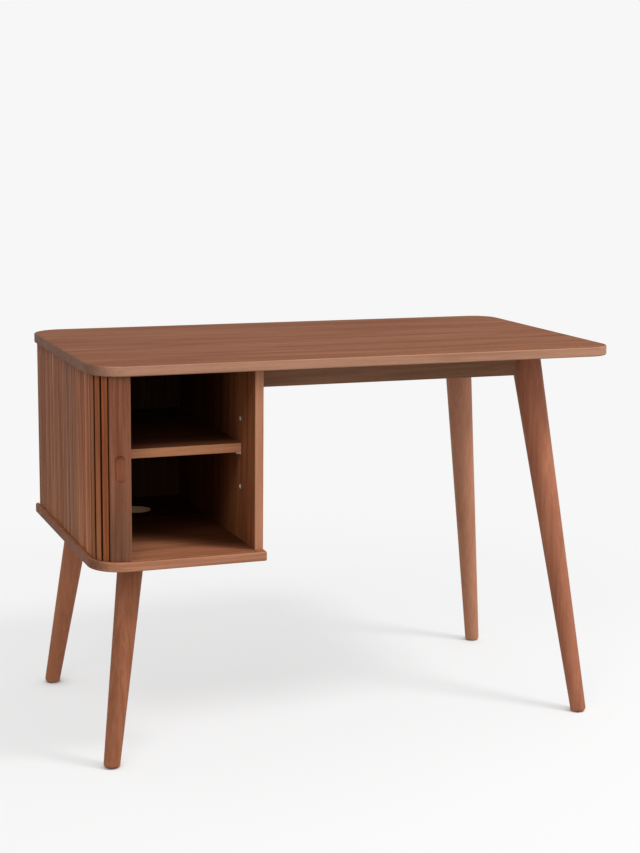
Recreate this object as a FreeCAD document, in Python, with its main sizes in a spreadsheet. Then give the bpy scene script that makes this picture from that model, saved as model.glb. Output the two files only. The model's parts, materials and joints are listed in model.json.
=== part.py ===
import FreeCAD, Part
import os
import re
from math import degrees, pi, radians

import Sketcher
from FreeCAD import Placement, Rotation, Vector

# A tambour desk: a round-cornered desktop on four turned-out legs, with a cabinet at its left
# whose slatted shutter runs round the corner. X runs along the desk's width, Y from the front to
# the back and Z up. The origin is on the floor under the middle of the desktop. Millimetres.

doc = FreeCAD.newDocument("TambourDesk")
nodes = {}

# Driving dimensions: name, value, what it is.
SIZES = [
    ("desk_width", 1060, "desktop, left to right"),
    ("desk_depth", 584, "desktop, front to back"),
    ("desk_height", 762, "floor to the desktop's upper face"),
    ("top_thickness", 19, "desktop board"),
    ("left_corner_radius", 65, "left corners of the desktop, and the corner that the tambour rounds"),
    ("right_corner_radius", 50, "right corners of the desktop"),
    ("edge_rounding", 2.5, "softened edges of the boards"),
    ("base_height", 382, "floor to the underside of the base board"),
    ("base_thickness", 18, "base board"),
    ("cabinet_width", 330, "base board, left to right"),
    ("base_back_setback", 30, "base board's back edge, in from the desktop's"),
    ("base_back_corner_radius", 12, "back left corner of the base board"),
    ("base_right_corner_radius", 4, "right corners of the base board"),
    ("cable_hole_diameter", 60, "cable hole in the base board"),
    ("cable_hole_from_left", 186, "its middle, from the base board's left edge"),
    ("cable_hole_from_back", 132, "its middle, from the base board's back edge"),
    ("groove_inset", 11, "middle of the tambour groove, in from the board edges"),
    ("groove_width", 6.8, "tambour groove"),
    ("groove_depth", 6, "tambour groove"),
    ("panel_thickness", 17, "right cabinet panel"),
    ("panel_inset", 1, "its outer face, in from the base board's right end"),
    ("panel_front_inset", 22, "its front edge, in from the base board's"),
    ("panel_back_inset", 10, "back edges of both panels, in from the base board's"),
    ("panel_rounding", 1.5, "its front corners"),
    ("left_panel_thickness", 12, "inner left panel"),
    ("left_panel_inset", 33, "its outer face, in from the base board's left edge"),
    ("left_panel_front_inset", 96, "its front edge, in from the base board's"),
    ("back_panel_thickness", 6, "back panel"),
    ("back_rebate", 8, "how far it laps the right panel"),
    ("back_rebate_left", 6, "how far it laps the inner left panel"),
    ("shelf_rise", 173, "base board to the underside of the shelf"),
    ("shelf_thickness", 18, "shelf"),
    ("shelf_front_inset", 100, "its front edge, in from the base board's"),
    ("shelf_side_gap", 1, "between the shelf and the panels"),
    ("shelf_back_gap", 1, "between the shelf and the back panel"),
    ("shelf_seat_gap", 0.3, "between the shelf and its pins"),
    ("shelf_rounding", 1.5, "front edges of the shelf"),
    ("pin_diameter", 5, "shelf pins"),
    ("pin_reach", 8, "how far a pin stands out of the panel"),
    ("pin_front_setback", 12, "front pins, in from the shelf's front edge"),
    ("pin_back_setback", 96, "back pins, in from the back panel"),
    ("pin_pitch", 66.5, "one pin hole to the next"),
    ("sleeve_diameter", 7, "metal sleeves of the pin holes"),
    ("sleeve_length", 10, "sleeves"),
    ("rim_diameter", 9, "rims of the sleeves"),
    ("rim_thickness", 0.5, "rims of the sleeves"),
    ("slat_pitch", 15, "one tambour slat to the next, along the canvas"),
    ("slat_width", 12.4, "slats"),
    ("slat_thickness", 6, "slats"),
    ("slat_inset", 8, "face of the slats, in from the board edges"),
    ("slat_bevel", 1.2, "bevels along the outer edges of the slats"),
    ("slat_back_bevel", 2, "bevels along their back edges"),
    ("slat_end_gap", 0.6, "between slat ends and the boards"),
    ("tongue_thickness", 5.2, "tongues of the slats that stay in the side grooves"),
    ("tongue_length", 4.5, "tongues"),
    ("canvas_thickness", 1, "canvas on the slats' backs"),
    ("canvas_margin", 6, "ends of the canvas, in from the slat ends"),
    ("canvas_side_margin", 1.2, "edges of the canvas, in from the sides of the last slats"),
    ("first_run", 41.4, "first slat's middle, past the start of the corner along the canvas"),
    ("stile_width", 40, "lead stile"),
    ("stile_thickness", 12, "lead stile"),
    ("stile_inset", 6, "its face, in from the board edges"),
    ("stile_rounding", 3, "its front edges"),
    ("stile_turn", 15.5, "degrees that the open stile is turned on its pegs"),
    ("lap_width", 9, "thinned strip of the stile that the canvas reaches"),
    ("lap_thickness", 6, "that strip"),
    ("peg_diameter", 6.2, "guide pegs of the stile"),
    ("peg_from_edge", 6, "peg axis to the stile's leading edge"),
    ("peg_start", 0.5, "peg axis past the end of the corner, with the tambour open"),
    ("peg_seat", 14, "how deep a peg sits in the stile"),
    ("pull_width", 17, "finger pull"),
    ("pull_length", 51, "finger pull, end to end"),
    ("pull_depth", 7, "finger pull"),
    ("pull_rise", 172, "base board to its middle"),
    ("pull_rounding", 1, "rim of the finger pull"),
    ("tambour_travel", 242, "travel of the stile from open to closed"),
    ("running_gap", 0.3, "clearance round what turns or slides"),
    ("stop_width", 20, "stop post behind the tambour"),
    ("stop_thickness", 10, "stop post"),
    ("stop_gap", 1, "between the stop post and the last slat"),
    ("apron_thickness", 20, "aprons"),
    ("apron_height", 48.5, "aprons"),
    ("apron_offset", 3, "middle of an apron, outside the tops of its legs"),
    ("foot_radius", 15.6, "legs at the floor"),
    ("foot_rounding", 7, "rounded ends of the legs"),
    ("long_leg_radius", 30.2, "right legs under the desktop"),
    ("short_leg_radius", 24.5, "left legs under the base board"),
    ("long_leg_from_side", 136.5, "top of a right leg, in from the desktop's right edge"),
    ("long_leg_from_end", 128.5, "top of a right leg, in from the desktop's front or back edge"),
    ("short_leg_from_side", 86, "top of a left leg, in from the base board's left edge"),
    ("short_leg_from_front", 77.5, "top of the front left leg, in from the base board's front edge"),
    ("short_leg_from_back", 47.5, "top of the back left leg, in from the base board's back edge"),
    ("front_left_foot_from_side", 33, "foot, in from the desktop's left edge"),
    ("front_left_foot_from_front", 29, "foot, in from the desktop's front edge"),
    ("back_left_foot_from_side", 32, "foot, in from the desktop's left edge"),
    ("back_left_foot_from_back", 20, "foot, in from the desktop's back edge"),
    ("front_right_foot_from_side", 39.5, "foot, in from the desktop's right edge"),
    ("front_right_foot_from_front", 25.5, "foot, in from the desktop's front edge"),
    ("back_right_foot_from_side", 32, "foot, in from the desktop's right edge"),
    ("back_right_foot_from_back", 31.5, "foot, in from the desktop's back edge"),
    ("glide_diameter", 14, "foot glides"),
    ("glide_thickness", 2, "foot glides"),
    ("bolt_diameter", 8, "hanger bolts"),
    ("leg_bolt_length", 52, "hanger bolts of the left legs"),
    ("bolt_end_gap", 2, "between the end of such a bolt and the bottom of its hole"),
    ("insert_diameter", 12, "threaded inserts"),
    ("insert_length", 14, "threaded inserts"),
    ("bracket_span", 31, "inner corner of two aprons to the bend of a corner bracket"),
    ("bracket_flange", 25, "flanges of the corner brackets"),
    ("bracket_thickness", 2.5, "corner brackets"),
    ("bracket_height", 34, "corner brackets"),
    ("bracket_bolt_start", 6, "leg axis to the inner end of a bracket's hanger bolt"),
    ("bracket_bolt_length", 45, "hanger bolts of the right legs"),
    ("nut_width", 13, "nuts, across the flats"),
    ("nut_thickness", 6, "nuts"),
    ("dowel_diameter", 6, "dowels of the cabinet"),
    ("dowel_length", 30, "dowels of the cabinet"),
    ("dowel_in_board", 12, "how deep they sit in the boards"),
    ("dowel_edge_distance", 34, "dowels, in from the ends of a panel"),
    ("apron_dowel_diameter", 8, "dowels of the aprons"),
    ("apron_dowel_length", 34, "dowels of the aprons"),
    ("apron_dowel_depth", 12, "how deep they sit in the panel or the leg"),
    ("apron_dowel_spacing", 24, "between the two dowels of a joint"),
    ("screw_diameter", 4, "wood screws"),
    ("screw_head", 8, "heads of the wood screws"),
    ("base_screw_length", 45, "screws from the base board into the panels"),
    ("top_screw_length", 34, "screws from the aprons into the desktop"),
    ("top_screw_in_desktop", 12, "how deep they sit in the desktop"),
    ("small_screw_diameter", 3, "screws of the back panel and the corner brackets"),
    ("small_screw_head", 5.5, "their heads"),
    ("small_screw_length", 16, "their length"),
]

# Places that follow from the driving dimensions.
PLACES = [
    ("left", "-desk_width / 2"),
    ("right", "desk_width / 2"),
    ("front", "-desk_depth / 2"),
    ("back", "desk_depth / 2"),
    ("underside", "desk_height - top_thickness"),
    ("base_top", "base_height + base_thickness"),
    ("base_right", "left + cabinet_width"),
    ("base_back", "back - base_back_setback"),
    ("room_height", "underside - base_top"),
    ("corner_x", "left + left_corner_radius"),
    ("corner_y", "front + left_corner_radius"),
    ("canvas_radius", "left_corner_radius - slat_inset - slat_thickness - canvas_thickness / 2"),
    ("peg_x", "corner_x + peg_start"),
    ("peg_y", "front + groove_inset"),
    ("groove_end", "peg_x + tambour_travel + peg_diameter / 2 + running_gap - groove_width / 2"),
    ("groove_outer_x", "left + groove_inset - groove_width / 2"),
    ("groove_outer_y", "front + groove_inset - groove_width / 2"),
    ("panel_right", "base_right - panel_inset"),
    ("panel_left", "panel_right - panel_thickness"),
    ("panel_front", "front + panel_front_inset"),
    ("panel_back", "base_back - panel_back_inset"),
    ("left_panel_outside", "left + left_panel_inset"),
    ("left_panel_inside", "left_panel_outside + left_panel_thickness"),
    ("left_panel_front", "front + left_panel_front_inset"),
    ("inside_back", "panel_back - back_panel_thickness"),
    ("shelf_front", "front + shelf_front_inset"),
    ("shelf_bottom", "base_top + shelf_rise"),
    ("pin_z", "shelf_bottom - shelf_seat_gap - pin_diameter / 2"),
    ("pin_front", "shelf_front + pin_front_setback"),
    ("pin_back", "inside_back - pin_back_setback"),
    ("slat_bottom", "base_top + slat_end_gap"),
    ("slat_length", "room_height - 2 * slat_end_gap"),
    ("apron_bottom", "underside - apron_height"),
    ("apron_middle", "underside - apron_height / 2"),
    ("apron_x", "right - long_leg_from_side + apron_offset"),
    ("apron_y", "back - long_leg_from_end + apron_offset"),
    ("front_left_top_x", "left + short_leg_from_side"),
    ("front_left_top_y", "front + short_leg_from_front"),
    ("back_left_top_x", "left + short_leg_from_side"),
    ("back_left_top_y", "base_back - short_leg_from_back"),
    ("front_right_top_x", "right - long_leg_from_side"),
    ("front_right_top_y", "front + long_leg_from_end"),
    ("back_right_top_x", "right - long_leg_from_side"),
    ("back_right_top_y", "back - long_leg_from_end"),
    ("front_left_foot_x", "left + front_left_foot_from_side"),
    ("front_left_foot_y", "front + front_left_foot_from_front"),
    ("back_left_foot_x", "left + back_left_foot_from_side"),
    ("back_left_foot_y", "back - back_left_foot_from_back"),
    ("front_right_foot_x", "right - front_right_foot_from_side"),
    ("front_right_foot_y", "front + front_right_foot_from_front"),
    ("back_right_foot_x", "right - back_right_foot_from_side"),
    ("back_right_foot_y", "back - back_right_foot_from_back"),
]

# Slats of the open tambour, counted from the stile: single ones on the corner, a straight run,
# single ones that reach the corner as the tambour closes, and a run that stays in the side grooves.
CORNER_COUNT = 3
MIDDLE_COUNT = 11
TRAILING_COUNT = 5
REAR_COUNT = 16
SLAT_COUNT = CORNER_COUNT + MIDDLE_COUNT + TRAILING_COUNT + REAR_COUNT

# Hardware inside the wood is drawn with flat sides, as few as do for its size.
HIDDEN_SIDE_COUNT = 8
SHOWN_SIDE_COUNT = 12

cells = {row[0]: "Sizes." + row[0] for row in SIZES}
cells.update({row[0]: "Places." + row[0] for row in PLACES})


def tied(expression):
    """The expression with each name in it written as a cell of its sheet."""
    return re.sub(r"[a-z]\w+", lambda word: cells.get(word.group(), word.group()), str(expression))


def fill_sheet(name, rows):
    """A spreadsheet with a named cell for each row."""
    sheet = doc.addObject("Spreadsheet::Sheet", name)
    for number, (alias, content, note) in enumerate(rows, start=1):
        sheet.set("A%d" % number, note)
        sheet.set("B%d" % number, content)
        sheet.setAlias("B%d" % number, alias)
    doc.recompute()
    return sheet


sizes = fill_sheet("Sizes", [(alias, str(value), note) for alias, value, note in SIZES])
places = fill_sheet("Places", [(alias, "=" + tied(rule).replace("Places.", ""), rule)
                               for alias, rule in PLACES])


# ---------------------------------------------------------------- primitives

def measure(expression):
    """The number that an expression on the sheets gives."""
    return float(places.evalExpression(tied(expression)))


def bind(item, **expressions):
    """Ties properties of an item to the sheets."""
    for name, expression in expressions.items():
        item.setExpression(name, tied(expression))
    return item


def put(item, x=0, y=0, z=0, axis=(0, 0, 1), angle=0):
    """Turns an item by an angle about an axis and moves it, all tied to the sheets."""
    item.Placement = Placement(Vector(), Rotation(Vector(*axis), measure(angle)))
    item.setExpression("Placement.Rotation.Angle", tied(angle))
    for name, expression in zip("xyz", (x, y, z)):
        item.setExpression("Placement.Base." + name, tied(expression))
    return item


def node(name, item):
    """Makes an item one of the finished sub-parts, under its name."""
    item.Label = name
    nodes[name] = item
    return item


def block(name, x, y, z, length, width, height):
    """A box with its lowest left front corner at x, y, z."""
    item = doc.addObject("Part::Box", name)
    bind(item, Length=length, Width=width, Height=height)
    return put(item, x, y, z)


def rod(name, x, y, z, radius, length, axis=(0, 0, 1), angle=0):
    """A cylinder that starts at x, y, z and runs along the turned Z axis."""
    item = doc.addObject("Part::Cylinder", name)
    bind(item, Radius=radius, Height=length)
    return put(item, x, y, z, axis, angle)


def stick(name, x, y, z, radius, length, axis=(0, 0, 1), angle=0, sides=HIDDEN_SIDE_COUNT):
    """A cylinder drawn with flat sides."""
    item = doc.addObject("Part::Prism", name)
    item.Polygon = sides
    bind(item, Circumradius=radius, Height=length)
    return put(item, x, y, z, axis, angle)


UP = {}
DOWN = {"axis": (1, 0, 0), "angle": 180}
RIGHTWARD = {"axis": (0, 1, 0), "angle": 90}
LEFTWARD = {"axis": (0, -1, 0), "angle": 90}
FORWARD = {"axis": (1, 0, 0), "angle": 90}
BACKWARD = {"axis": (-1, 0, 0), "angle": 90}


def several(name, items):
    """Separate solids of one kind, kept as one object."""
    item = doc.addObject("Part::Compound", name)
    item.Links = items
    return item


def fuse(name, base, tool):
    item = doc.addObject("Part::Fuse", name)
    item.Base = base
    item.Tool = tool
    return item


def cut(name, base, tools):
    """The base less each of the tools."""
    for number, tool in enumerate(tools, start=1):
        item = doc.addObject("Part::Cut", "%s_%d" % (name, number))
        item.Base = base
        item.Tool = tool
        base = item
    return base


def screw(name, x, y, z, diameter, head, length, turn):
    """A screw with the face of its head at x, y, z."""
    disc = stick(name + "_head", 0, 0, 0, "%s / 2" % head, "(%s - %s) / 2" % (head, diameter))
    shank = stick(name + "_shank", 0, 0, 0, "%s / 2" % diameter, length)
    return put(fuse(name, disc, shank), x, y, z, **turn)


def wood_screw(name, x, y, z, length, turn=UP):
    return screw(name, x, y, z, "screw_diameter", "screw_head", length, turn)


def small_screw(name, x, y, z, turn):
    return screw(name, x, y, z, "small_screw_diameter", "small_screw_head", "small_screw_length", turn)


# ---------------------------------------------------------------- bodies and sketches

def new_body(name):
    body = doc.addObject("PartDesign::Body", name)
    body.AllowCompound = True
    return body


def new_sketch(body, name, height=0, plane="XY_Plane"):
    """A sketch on one of the body's own planes, or at a height above it."""
    sketch = body.newObject("Sketcher::SketchObject", name)
    sketch.AttachmentSupport = [(next(f for f in body.Origin.OriginFeatures if f.Role == plane), "")]
    sketch.MapMode = "FlatFace"
    sketch.setExpression("AttachmentOffset.Base.z", tied(height))
    return sketch


def dimension(sketch, kind, where, expression):
    """A dimension of a sketch, tied to the sheets."""
    index = sketch.addConstraint(Sketcher.Constraint(kind, *where, measure(expression)))
    sketch.setExpression("Constraints[%d]" % index, tied(expression))


def add_line(sketch, start, end):
    return sketch.addGeometry(Part.LineSegment(Vector(*start, 0), Vector(*end, 0)), False)


def add_arc(sketch, centre, radius, start, end):
    """An arc, anticlockwise from the start angle to the end angle, in degrees."""
    circle = Part.Circle(Vector(*centre, 0), Vector(0, 0, 1), radius)
    return sketch.addGeometry(Part.ArcOfCircle(circle, radians(start), radians(end)), False)


def outline(sketch, corners):
    """A closed outline, anticlockwise, of upright and level lines: x, y and radius of each corner."""
    count = len(corners)
    points = [Vector(measure(x), measure(y), 0) for x, y, _ in corners]
    radii = [measure(radius) for _, _, radius in corners]
    ahead = [(points[(i + 1) % count] - points[i]).normalize() for i in range(count)]
    lines, bends = [], {}
    for i in range(count):
        j = (i + 1) % count
        start = points[i] + ahead[i] * radii[i]
        end = points[j] - ahead[i] * radii[j]
        lines.append(add_line(sketch, (start.x, start.y), (end.x, end.y)))
        level = abs(ahead[i].x) > abs(ahead[i].y)
        sketch.addConstraint(Sketcher.Constraint("Horizontal" if level else "Vertical", lines[i]))
        kind, place = ("DistanceY", corners[i][1]) if level else ("DistanceX", corners[i][0])
        dimension(sketch, kind, (-1, 1, lines[i], 1), place)
    for i in range(count):
        before = lines[i - 1]
        if not radii[i]:
            sketch.addConstraint(Sketcher.Constraint("Coincident", before, 2, lines[i], 1))
            continue
        left_turn = ahead[i - 1].cross(ahead[i]).z > 0
        centre = points[i] + (ahead[i] - ahead[i - 1]) * radii[i]
        heading = degrees(Vector(1, 0, 0).getAngle(ahead[i - 1])) * (1 if ahead[i - 1].y >= 0 else -1)
        first = heading - 90 if left_turn else heading
        bends[i] = add_arc(sketch, (centre.x, centre.y), radii[i], first, first + 90)
        enter, leave = (1, 2) if left_turn else (2, 1)
        sketch.addConstraint(Sketcher.Constraint("Tangent", before, 2, bends[i], enter))
        sketch.addConstraint(Sketcher.Constraint("Tangent", bends[i], leave, lines[i], 1))
        dimension(sketch, "Radius", (bends[i],), corners[i][2])


def polygon(sketch, corners):
    """A closed outline of straight lines, with each corner dimensioned."""
    points = [(measure(x), measure(y)) for x, y in corners]
    for number, point in enumerate(points):
        add_line(sketch, point, points[(number + 1) % len(points)])
    for number, (x, y) in enumerate(corners):
        after = (number + 1) % len(corners)
        sketch.addConstraint(Sketcher.Constraint("Coincident", number, 2, after, 1))
        dimension(sketch, "DistanceX", (-1, 1, number, 1), x)
        dimension(sketch, "DistanceY", (-1, 1, number, 1), y)


def circle(sketch, x, y, radius):
    ring = Part.Circle(Vector(measure(x), measure(y), 0), Vector(0, 0, 1), measure(radius))
    index = sketch.addGeometry(ring, False)
    dimension(sketch, "DistanceX", (-1, 1, index, 3), x)
    dimension(sketch, "DistanceY", (-1, 1, index, 3), y)
    dimension(sketch, "Radius", (index,), radius)


def pad(body, name, sketch, length):
    item = body.newObject("PartDesign::Pad", name)
    item.Profile = sketch
    item.setExpression("Length", tied(length))
    body.Tip = item
    doc.recompute()
    return item


def pocket(body, name, sketch, depth, upward=False):
    """A pocket from the sketch down, or up; it has to take something away."""
    before = body.Shape.Volume
    item = body.newObject("PartDesign::Pocket", name)
    item.Profile = sketch
    item.Reversed = upward
    item.setExpression("Length", tied(depth))
    body.Tip = item
    doc.recompute()
    if body.Shape.Volume >= before:
        raise RuntimeError(name + " cuts nothing")
    return item


def edges_where(shape, test):
    """Names of the edges whose middle point passes the test."""
    names = []
    for number, edge in enumerate(shape.Edges, start=1):
        if test(edge.CenterOfMass, edge):
            names.append("Edge%d" % number)
    return names


def soften(body, name, radius, test):
    """Rounds the edges of the body's last feature that pass the test."""
    base = body.Tip
    item = body.newObject("PartDesign::Fillet", name)
    item.Base = (base, edges_where(base.Shape, test))
    item.setExpression("Radius", tied(radius))
    body.Tip = item
    doc.recompute()
    return item


def row(body, name, features, axis, pitch, count):
    """Repeats features along one of the body's own axes."""
    item = body.newObject("PartDesign::LinearPattern", name)
    item.Originals = features
    item.Direction = (next(f for f in body.Origin.OriginFeatures if f.Role == axis), [""])
    item.Mode = "Spacing"
    item.setExpression("Offset", tied(pitch))
    item.Occurrences = count
    body.Tip = item
    doc.recompute()
    return item


# ---------------------------------------------------------------- desktop and cabinet boards

def rounded_board(name, corners, bottom, thickness):
    """A board with rounded corners and softened edges."""
    body = new_body(name)
    sketch = new_sketch(body, name + "_outline", bottom)
    outline(sketch, corners)
    pad(body, name + "_slab", sketch, thickness)
    soften(body, name + "_edges", "edge_rounding", lambda point, edge: edge.BoundBox.ZLength < 1e-6)
    return body


def tambour_groove(body, height, upward):
    """The groove from the board's back, round the left corner and along the front."""
    name = body.Name + "_groove"
    inner_x = "groove_outer_x + groove_width"
    inner_y = "groove_outer_y + groove_width"
    outer_radius = "left_corner_radius - groove_inset + groove_width / 2"
    path = new_sketch(body, name + "_path", height)
    outline(path, [
        ("groove_outer_x", "groove_outer_y", outer_radius),
        ("groove_end", "groove_outer_y", 0),
        ("groove_end", inner_y, 0),
        (inner_x, inner_y, outer_radius + " - groove_width"),
        (inner_x, "base_back", 0),
        ("groove_outer_x", "base_back", 0),
    ])
    pocket(body, name, path, "groove_depth", upward)
    end = new_sketch(body, name + "_end_outline", height)
    circle(end, "groove_end", "peg_y", "groove_width / 2")
    pocket(body, name + "_end", end, "groove_depth", upward)


def desktop(hardware):
    body = rounded_board("desktop_board", [
        ("left", "front", "left_corner_radius"),
        ("right", "front", "right_corner_radius"),
        ("right", "back", "right_corner_radius"),
        ("left", "back", "left_corner_radius"),
    ], "underside", "top_thickness")
    tambour_groove(body, "underside", upward=True)
    node("desktop", cut("desktop_drilled", body, hardware))


def base_board(hardware):
    body = rounded_board("cabinet_floor", [
        ("left", "front", "left_corner_radius"),
        ("base_right", "front", "base_right_corner_radius"),
        ("base_right", "base_back", "base_right_corner_radius"),
        ("left", "base_back", "base_back_corner_radius"),
    ], "base_height", "base_thickness")
    tambour_groove(body, "base_top", upward=False)
    hole = new_sketch(body, "cable_hole_outline", "base_top")
    circle(hole, "left + cable_hole_from_left", "base_back - cable_hole_from_back", "cable_hole_diameter / 2")
    pocket(body, "cable_hole", hole, "base_thickness")
    node("base_board", cut("base_board_drilled", body, hardware))


def back_panel(hardware):
    start = "left_panel_inside - back_rebate_left"
    blank = block("back_panel_blank", start, "inside_back", "base_top",
                  "panel_left + back_rebate - (%s)" % start, "back_panel_thickness", "room_height")
    node("back_panel", cut("back_panel_drilled", blank, hardware))
    return blank


def panel(name, x, y, thickness, hardware):
    """An upright cabinet panel with rounded front corners."""
    body = new_body(name + "_blank")
    sketch = new_sketch(body, name + "_outline", "base_top")
    outline(sketch, [
        (x, y, "panel_rounding"),
        ("%s + %s" % (x, thickness), y, "panel_rounding"),
        ("%s + %s" % (x, thickness), "panel_back", 0),
        (x, "panel_back", 0),
    ])
    pad(body, name + "_slab", sketch, "room_height")
    node(name, cut(name + "_drilled", body, hardware))


def stop_post():
    """The post behind the tambour that its last slat meets when the tambour is open."""
    last_run = "(%d * slat_pitch - first_run)" % (SLAT_COUNT - 1)
    y = "corner_y + %s + slat_width / 2 + stop_gap" % last_run
    node("stop_post", block("stop_post", "left_panel_outside - stop_width", y, "base_top",
                            "stop_width", "stop_thickness", "room_height"))


# ---------------------------------------------------------------- shelf

def shelf():
    body = new_body("shelf_board")
    sketch = new_sketch(body, "shelf_outline", "shelf_bottom")
    x1 = "left_panel_inside + shelf_side_gap"
    x2 = "panel_left - shelf_side_gap"
    y2 = "inside_back - shelf_back_gap"
    outline(sketch, [(x1, "shelf_front", 0), (x2, "shelf_front", 0), (x2, y2, 0), (x1, y2, 0)])
    pad(body, "shelf_slab", sketch, "shelf_thickness")
    front = measure("shelf_front")
    soften(body, "shelf_front_edges", "shelf_rounding", lambda point, edge: abs(point.y - front) < 1e-6)
    node("shelf", body)


def pin_holes():
    """Name, place and direction of each pin hole: three heights, front and back, in both panels."""
    for side, x, turn, inward in (("left", "left_panel_inside", LEFTWARD, 1),
                                  ("right", "panel_left", RIGHTWARD, -1)):
        for depth, y in (("front", "pin_front"), ("back", "pin_back")):
            for step in (-1, 0, 1):
                z = "pin_z + %d * pin_pitch" % step
                yield "%s_%s_%d" % (side, depth, step + 2), x, y, z, turn, inward, step == 0


def pin_sleeves():
    """Metal sleeves that line the pin holes. Returns what the panels are drilled with."""
    sleeves, drills = [], []
    for name, x, y, z, turn, inward, _ in pin_holes():
        rim_face = "%s + %d * rim_thickness" % (x, inward)
        turn = dict(turn, sides=SHOWN_SIDE_COUNT)
        drill = stick("sleeve_tube_" + name, x, y, z, "sleeve_diameter / 2", "sleeve_length", **turn)
        rim = stick("sleeve_rim_" + name, rim_face, y, z, "rim_diameter / 2", "rim_thickness", **turn)
        bore = stick("sleeve_bore_" + name, rim_face, y, z, "pin_diameter / 2",
                     "sleeve_length + rim_thickness", **turn)
        sleeves.append(cut("sleeve_" + name, fuse("sleeve_blank_" + name, drill, rim), [bore]))
        drills.append(drill)
    node("pin_sleeves", several("pin_sleeves", sleeves))
    return several("pin_drills", drills)


def shelf_pins():
    """The four pins that carry the shelf."""
    pins = []
    for name, x, y, z, turn, inward, used in pin_holes():
        if used:
            start = "%s + %d * pin_reach" % (x, inward)
            pins.append(stick("pin_" + name, start, y, z, "pin_diameter / 2",
                              "pin_reach + sleeve_length", sides=SHOWN_SIDE_COUNT, **turn))
    node("shelf_pins", several("shelf_pins", pins))


# ---------------------------------------------------------------- tambour

def on_canvas(item, run):
    """Puts an item on the middle of the canvas, by its run past the start of the corner.

    Before the corner the canvas runs straight up the desk's left side, so that run is negative.
    The item's X then points the way that the tambour closes, and its -Y points outward.
    """
    if measure(run) <= 0:
        return put(item, "corner_x - canvas_radius", "corner_y - (%s)" % run, 0, (0, 0, -1), 90)
    turn = "(%s) / canvas_radius * %.10f" % (run, 180 / pi)
    x = "corner_x - canvas_radius * cos(%s)" % turn
    y = "corner_y - canvas_radius * sin(%s)" % turn
    return put(item, x, y, 0, (0, 0, -1), "90 - " + turn)


def slat_run(number):
    """Run of a slat's middle past the start of the corner, counted from the stile."""
    return "first_run - %d * slat_pitch" % number


def slat_section(sketch):
    """Section of a slat outside the canvas, cut back more behind so that the slats can fold."""
    half = "slat_width / 2"
    back = "-canvas_thickness / 2"
    face = back + " - slat_thickness"
    polygon(sketch, [
        ("-" + half, face + " + slat_bevel"),
        ("slat_bevel - " + half, face),
        (half + " - slat_bevel", face),
        (half, face + " + slat_bevel"),
        (half, back + " - slat_back_bevel"),
        (half + " - slat_back_bevel", back),
        ("slat_back_bevel - " + half, back),
        ("-" + half, back + " - slat_back_bevel"),
    ])


def slats(name, number, count=1, tongues=False):
    """A run of slats, side by side on one stretch of canvas."""
    body = new_body(name + "_body")
    section = new_sketch(body, name + "_section", "slat_bottom")
    slat_section(section)
    features = [pad(body, name + "_pad", section, "slat_length")]
    if tongues:
        middle = "groove_inset - slat_inset - slat_thickness - canvas_thickness / 2"
        face, back = middle + " - tongue_thickness / 2", middle + " + tongue_thickness / 2"
        half = "slat_width / 2"
        tongue = new_sketch(body, name + "_tongue_section", "slat_bottom - tongue_length")
        outline(tongue, [("-" + half, face, 0), (half, face, 0), (half, back, 0), ("-" + half, back, 0)])
        features.append(pad(body, name + "_tongues", tongue, "slat_length + 2 * tongue_length"))
    if count > 1:
        pattern = row(body, name + "_row", features, "X_Axis", "slat_pitch", count)
        pattern.Reversed = True
    node(name, on_canvas(body, slat_run(number)))


def canvas(name, number, count=1):
    """The canvas behind a run of slats."""
    body = new_body(name + "_body")
    section = new_sketch(body, name + "_section", "slat_bottom + canvas_margin")
    lead = "slat_width / 2 - canvas_side_margin"
    tail = "canvas_side_margin - slat_width / 2 - %d * slat_pitch" % (count - 1)
    half = "canvas_thickness / 2"
    outline(section, [(tail, "-" + half, 0), (lead, "-" + half, 0), (lead, half, 0), (tail, half, 0)])
    pad(body, name + "_pad", section, "slat_length - 2 * canvas_margin")
    node(name, on_canvas(body, slat_run(number)))


def tambour():
    """Slats and canvas: single slats near the corner, and two runs that stay straight."""
    middle = CORNER_COUNT
    trailing = middle + MIDDLE_COUNT
    rear = trailing + TRAILING_COUNT
    for number in [*range(middle), *range(trailing, rear)]:
        slats("slat_%02d" % (number + 1), number)
        canvas("canvas_%02d" % (number + 1), number)
    slats("slats_middle", middle, MIDDLE_COUNT)
    canvas("canvas_middle", middle, MIDDLE_COUNT)
    slats("slats_rear", rear, REAR_COUNT, tongues=True)
    canvas("canvas_rear", rear, REAR_COUNT)


def obround(sketch, x, z, width, length):
    """An upright slot with round ends, about x, z."""
    x0, z0, w, reach = measure(x), measure(z), measure(width), (measure(length) - measure(width)) / 2
    top = add_arc(sketch, (x0, z0 + reach), w / 2, 0, 180)
    left = add_line(sketch, (x0 - w / 2, z0 + reach), (x0 - w / 2, z0 - reach))
    bottom = add_arc(sketch, (x0, z0 - reach), w / 2, 180, 360)
    right = add_line(sketch, (x0 + w / 2, z0 - reach), (x0 + w / 2, z0 + reach))
    for before, after in ((top, left), (left, bottom), (bottom, right), (right, top)):
        sketch.addConstraint(Sketcher.Constraint("Tangent", before, 2, after, 1))
    for line in (left, right):
        sketch.addConstraint(Sketcher.Constraint("Vertical", line))
    dimension(sketch, "Radius", (top,), "%s / 2" % width)
    dimension(sketch, "DistanceX", (-1, 1, top, 3), x)
    dimension(sketch, "DistanceY", (-1, 1, top, 3), "%s + (%s - %s) / 2" % (z, length, width))
    dimension(sketch, "DistanceY", (-1, 1, bottom, 3), "%s - (%s - %s) / 2" % (z, length, width))


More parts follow.
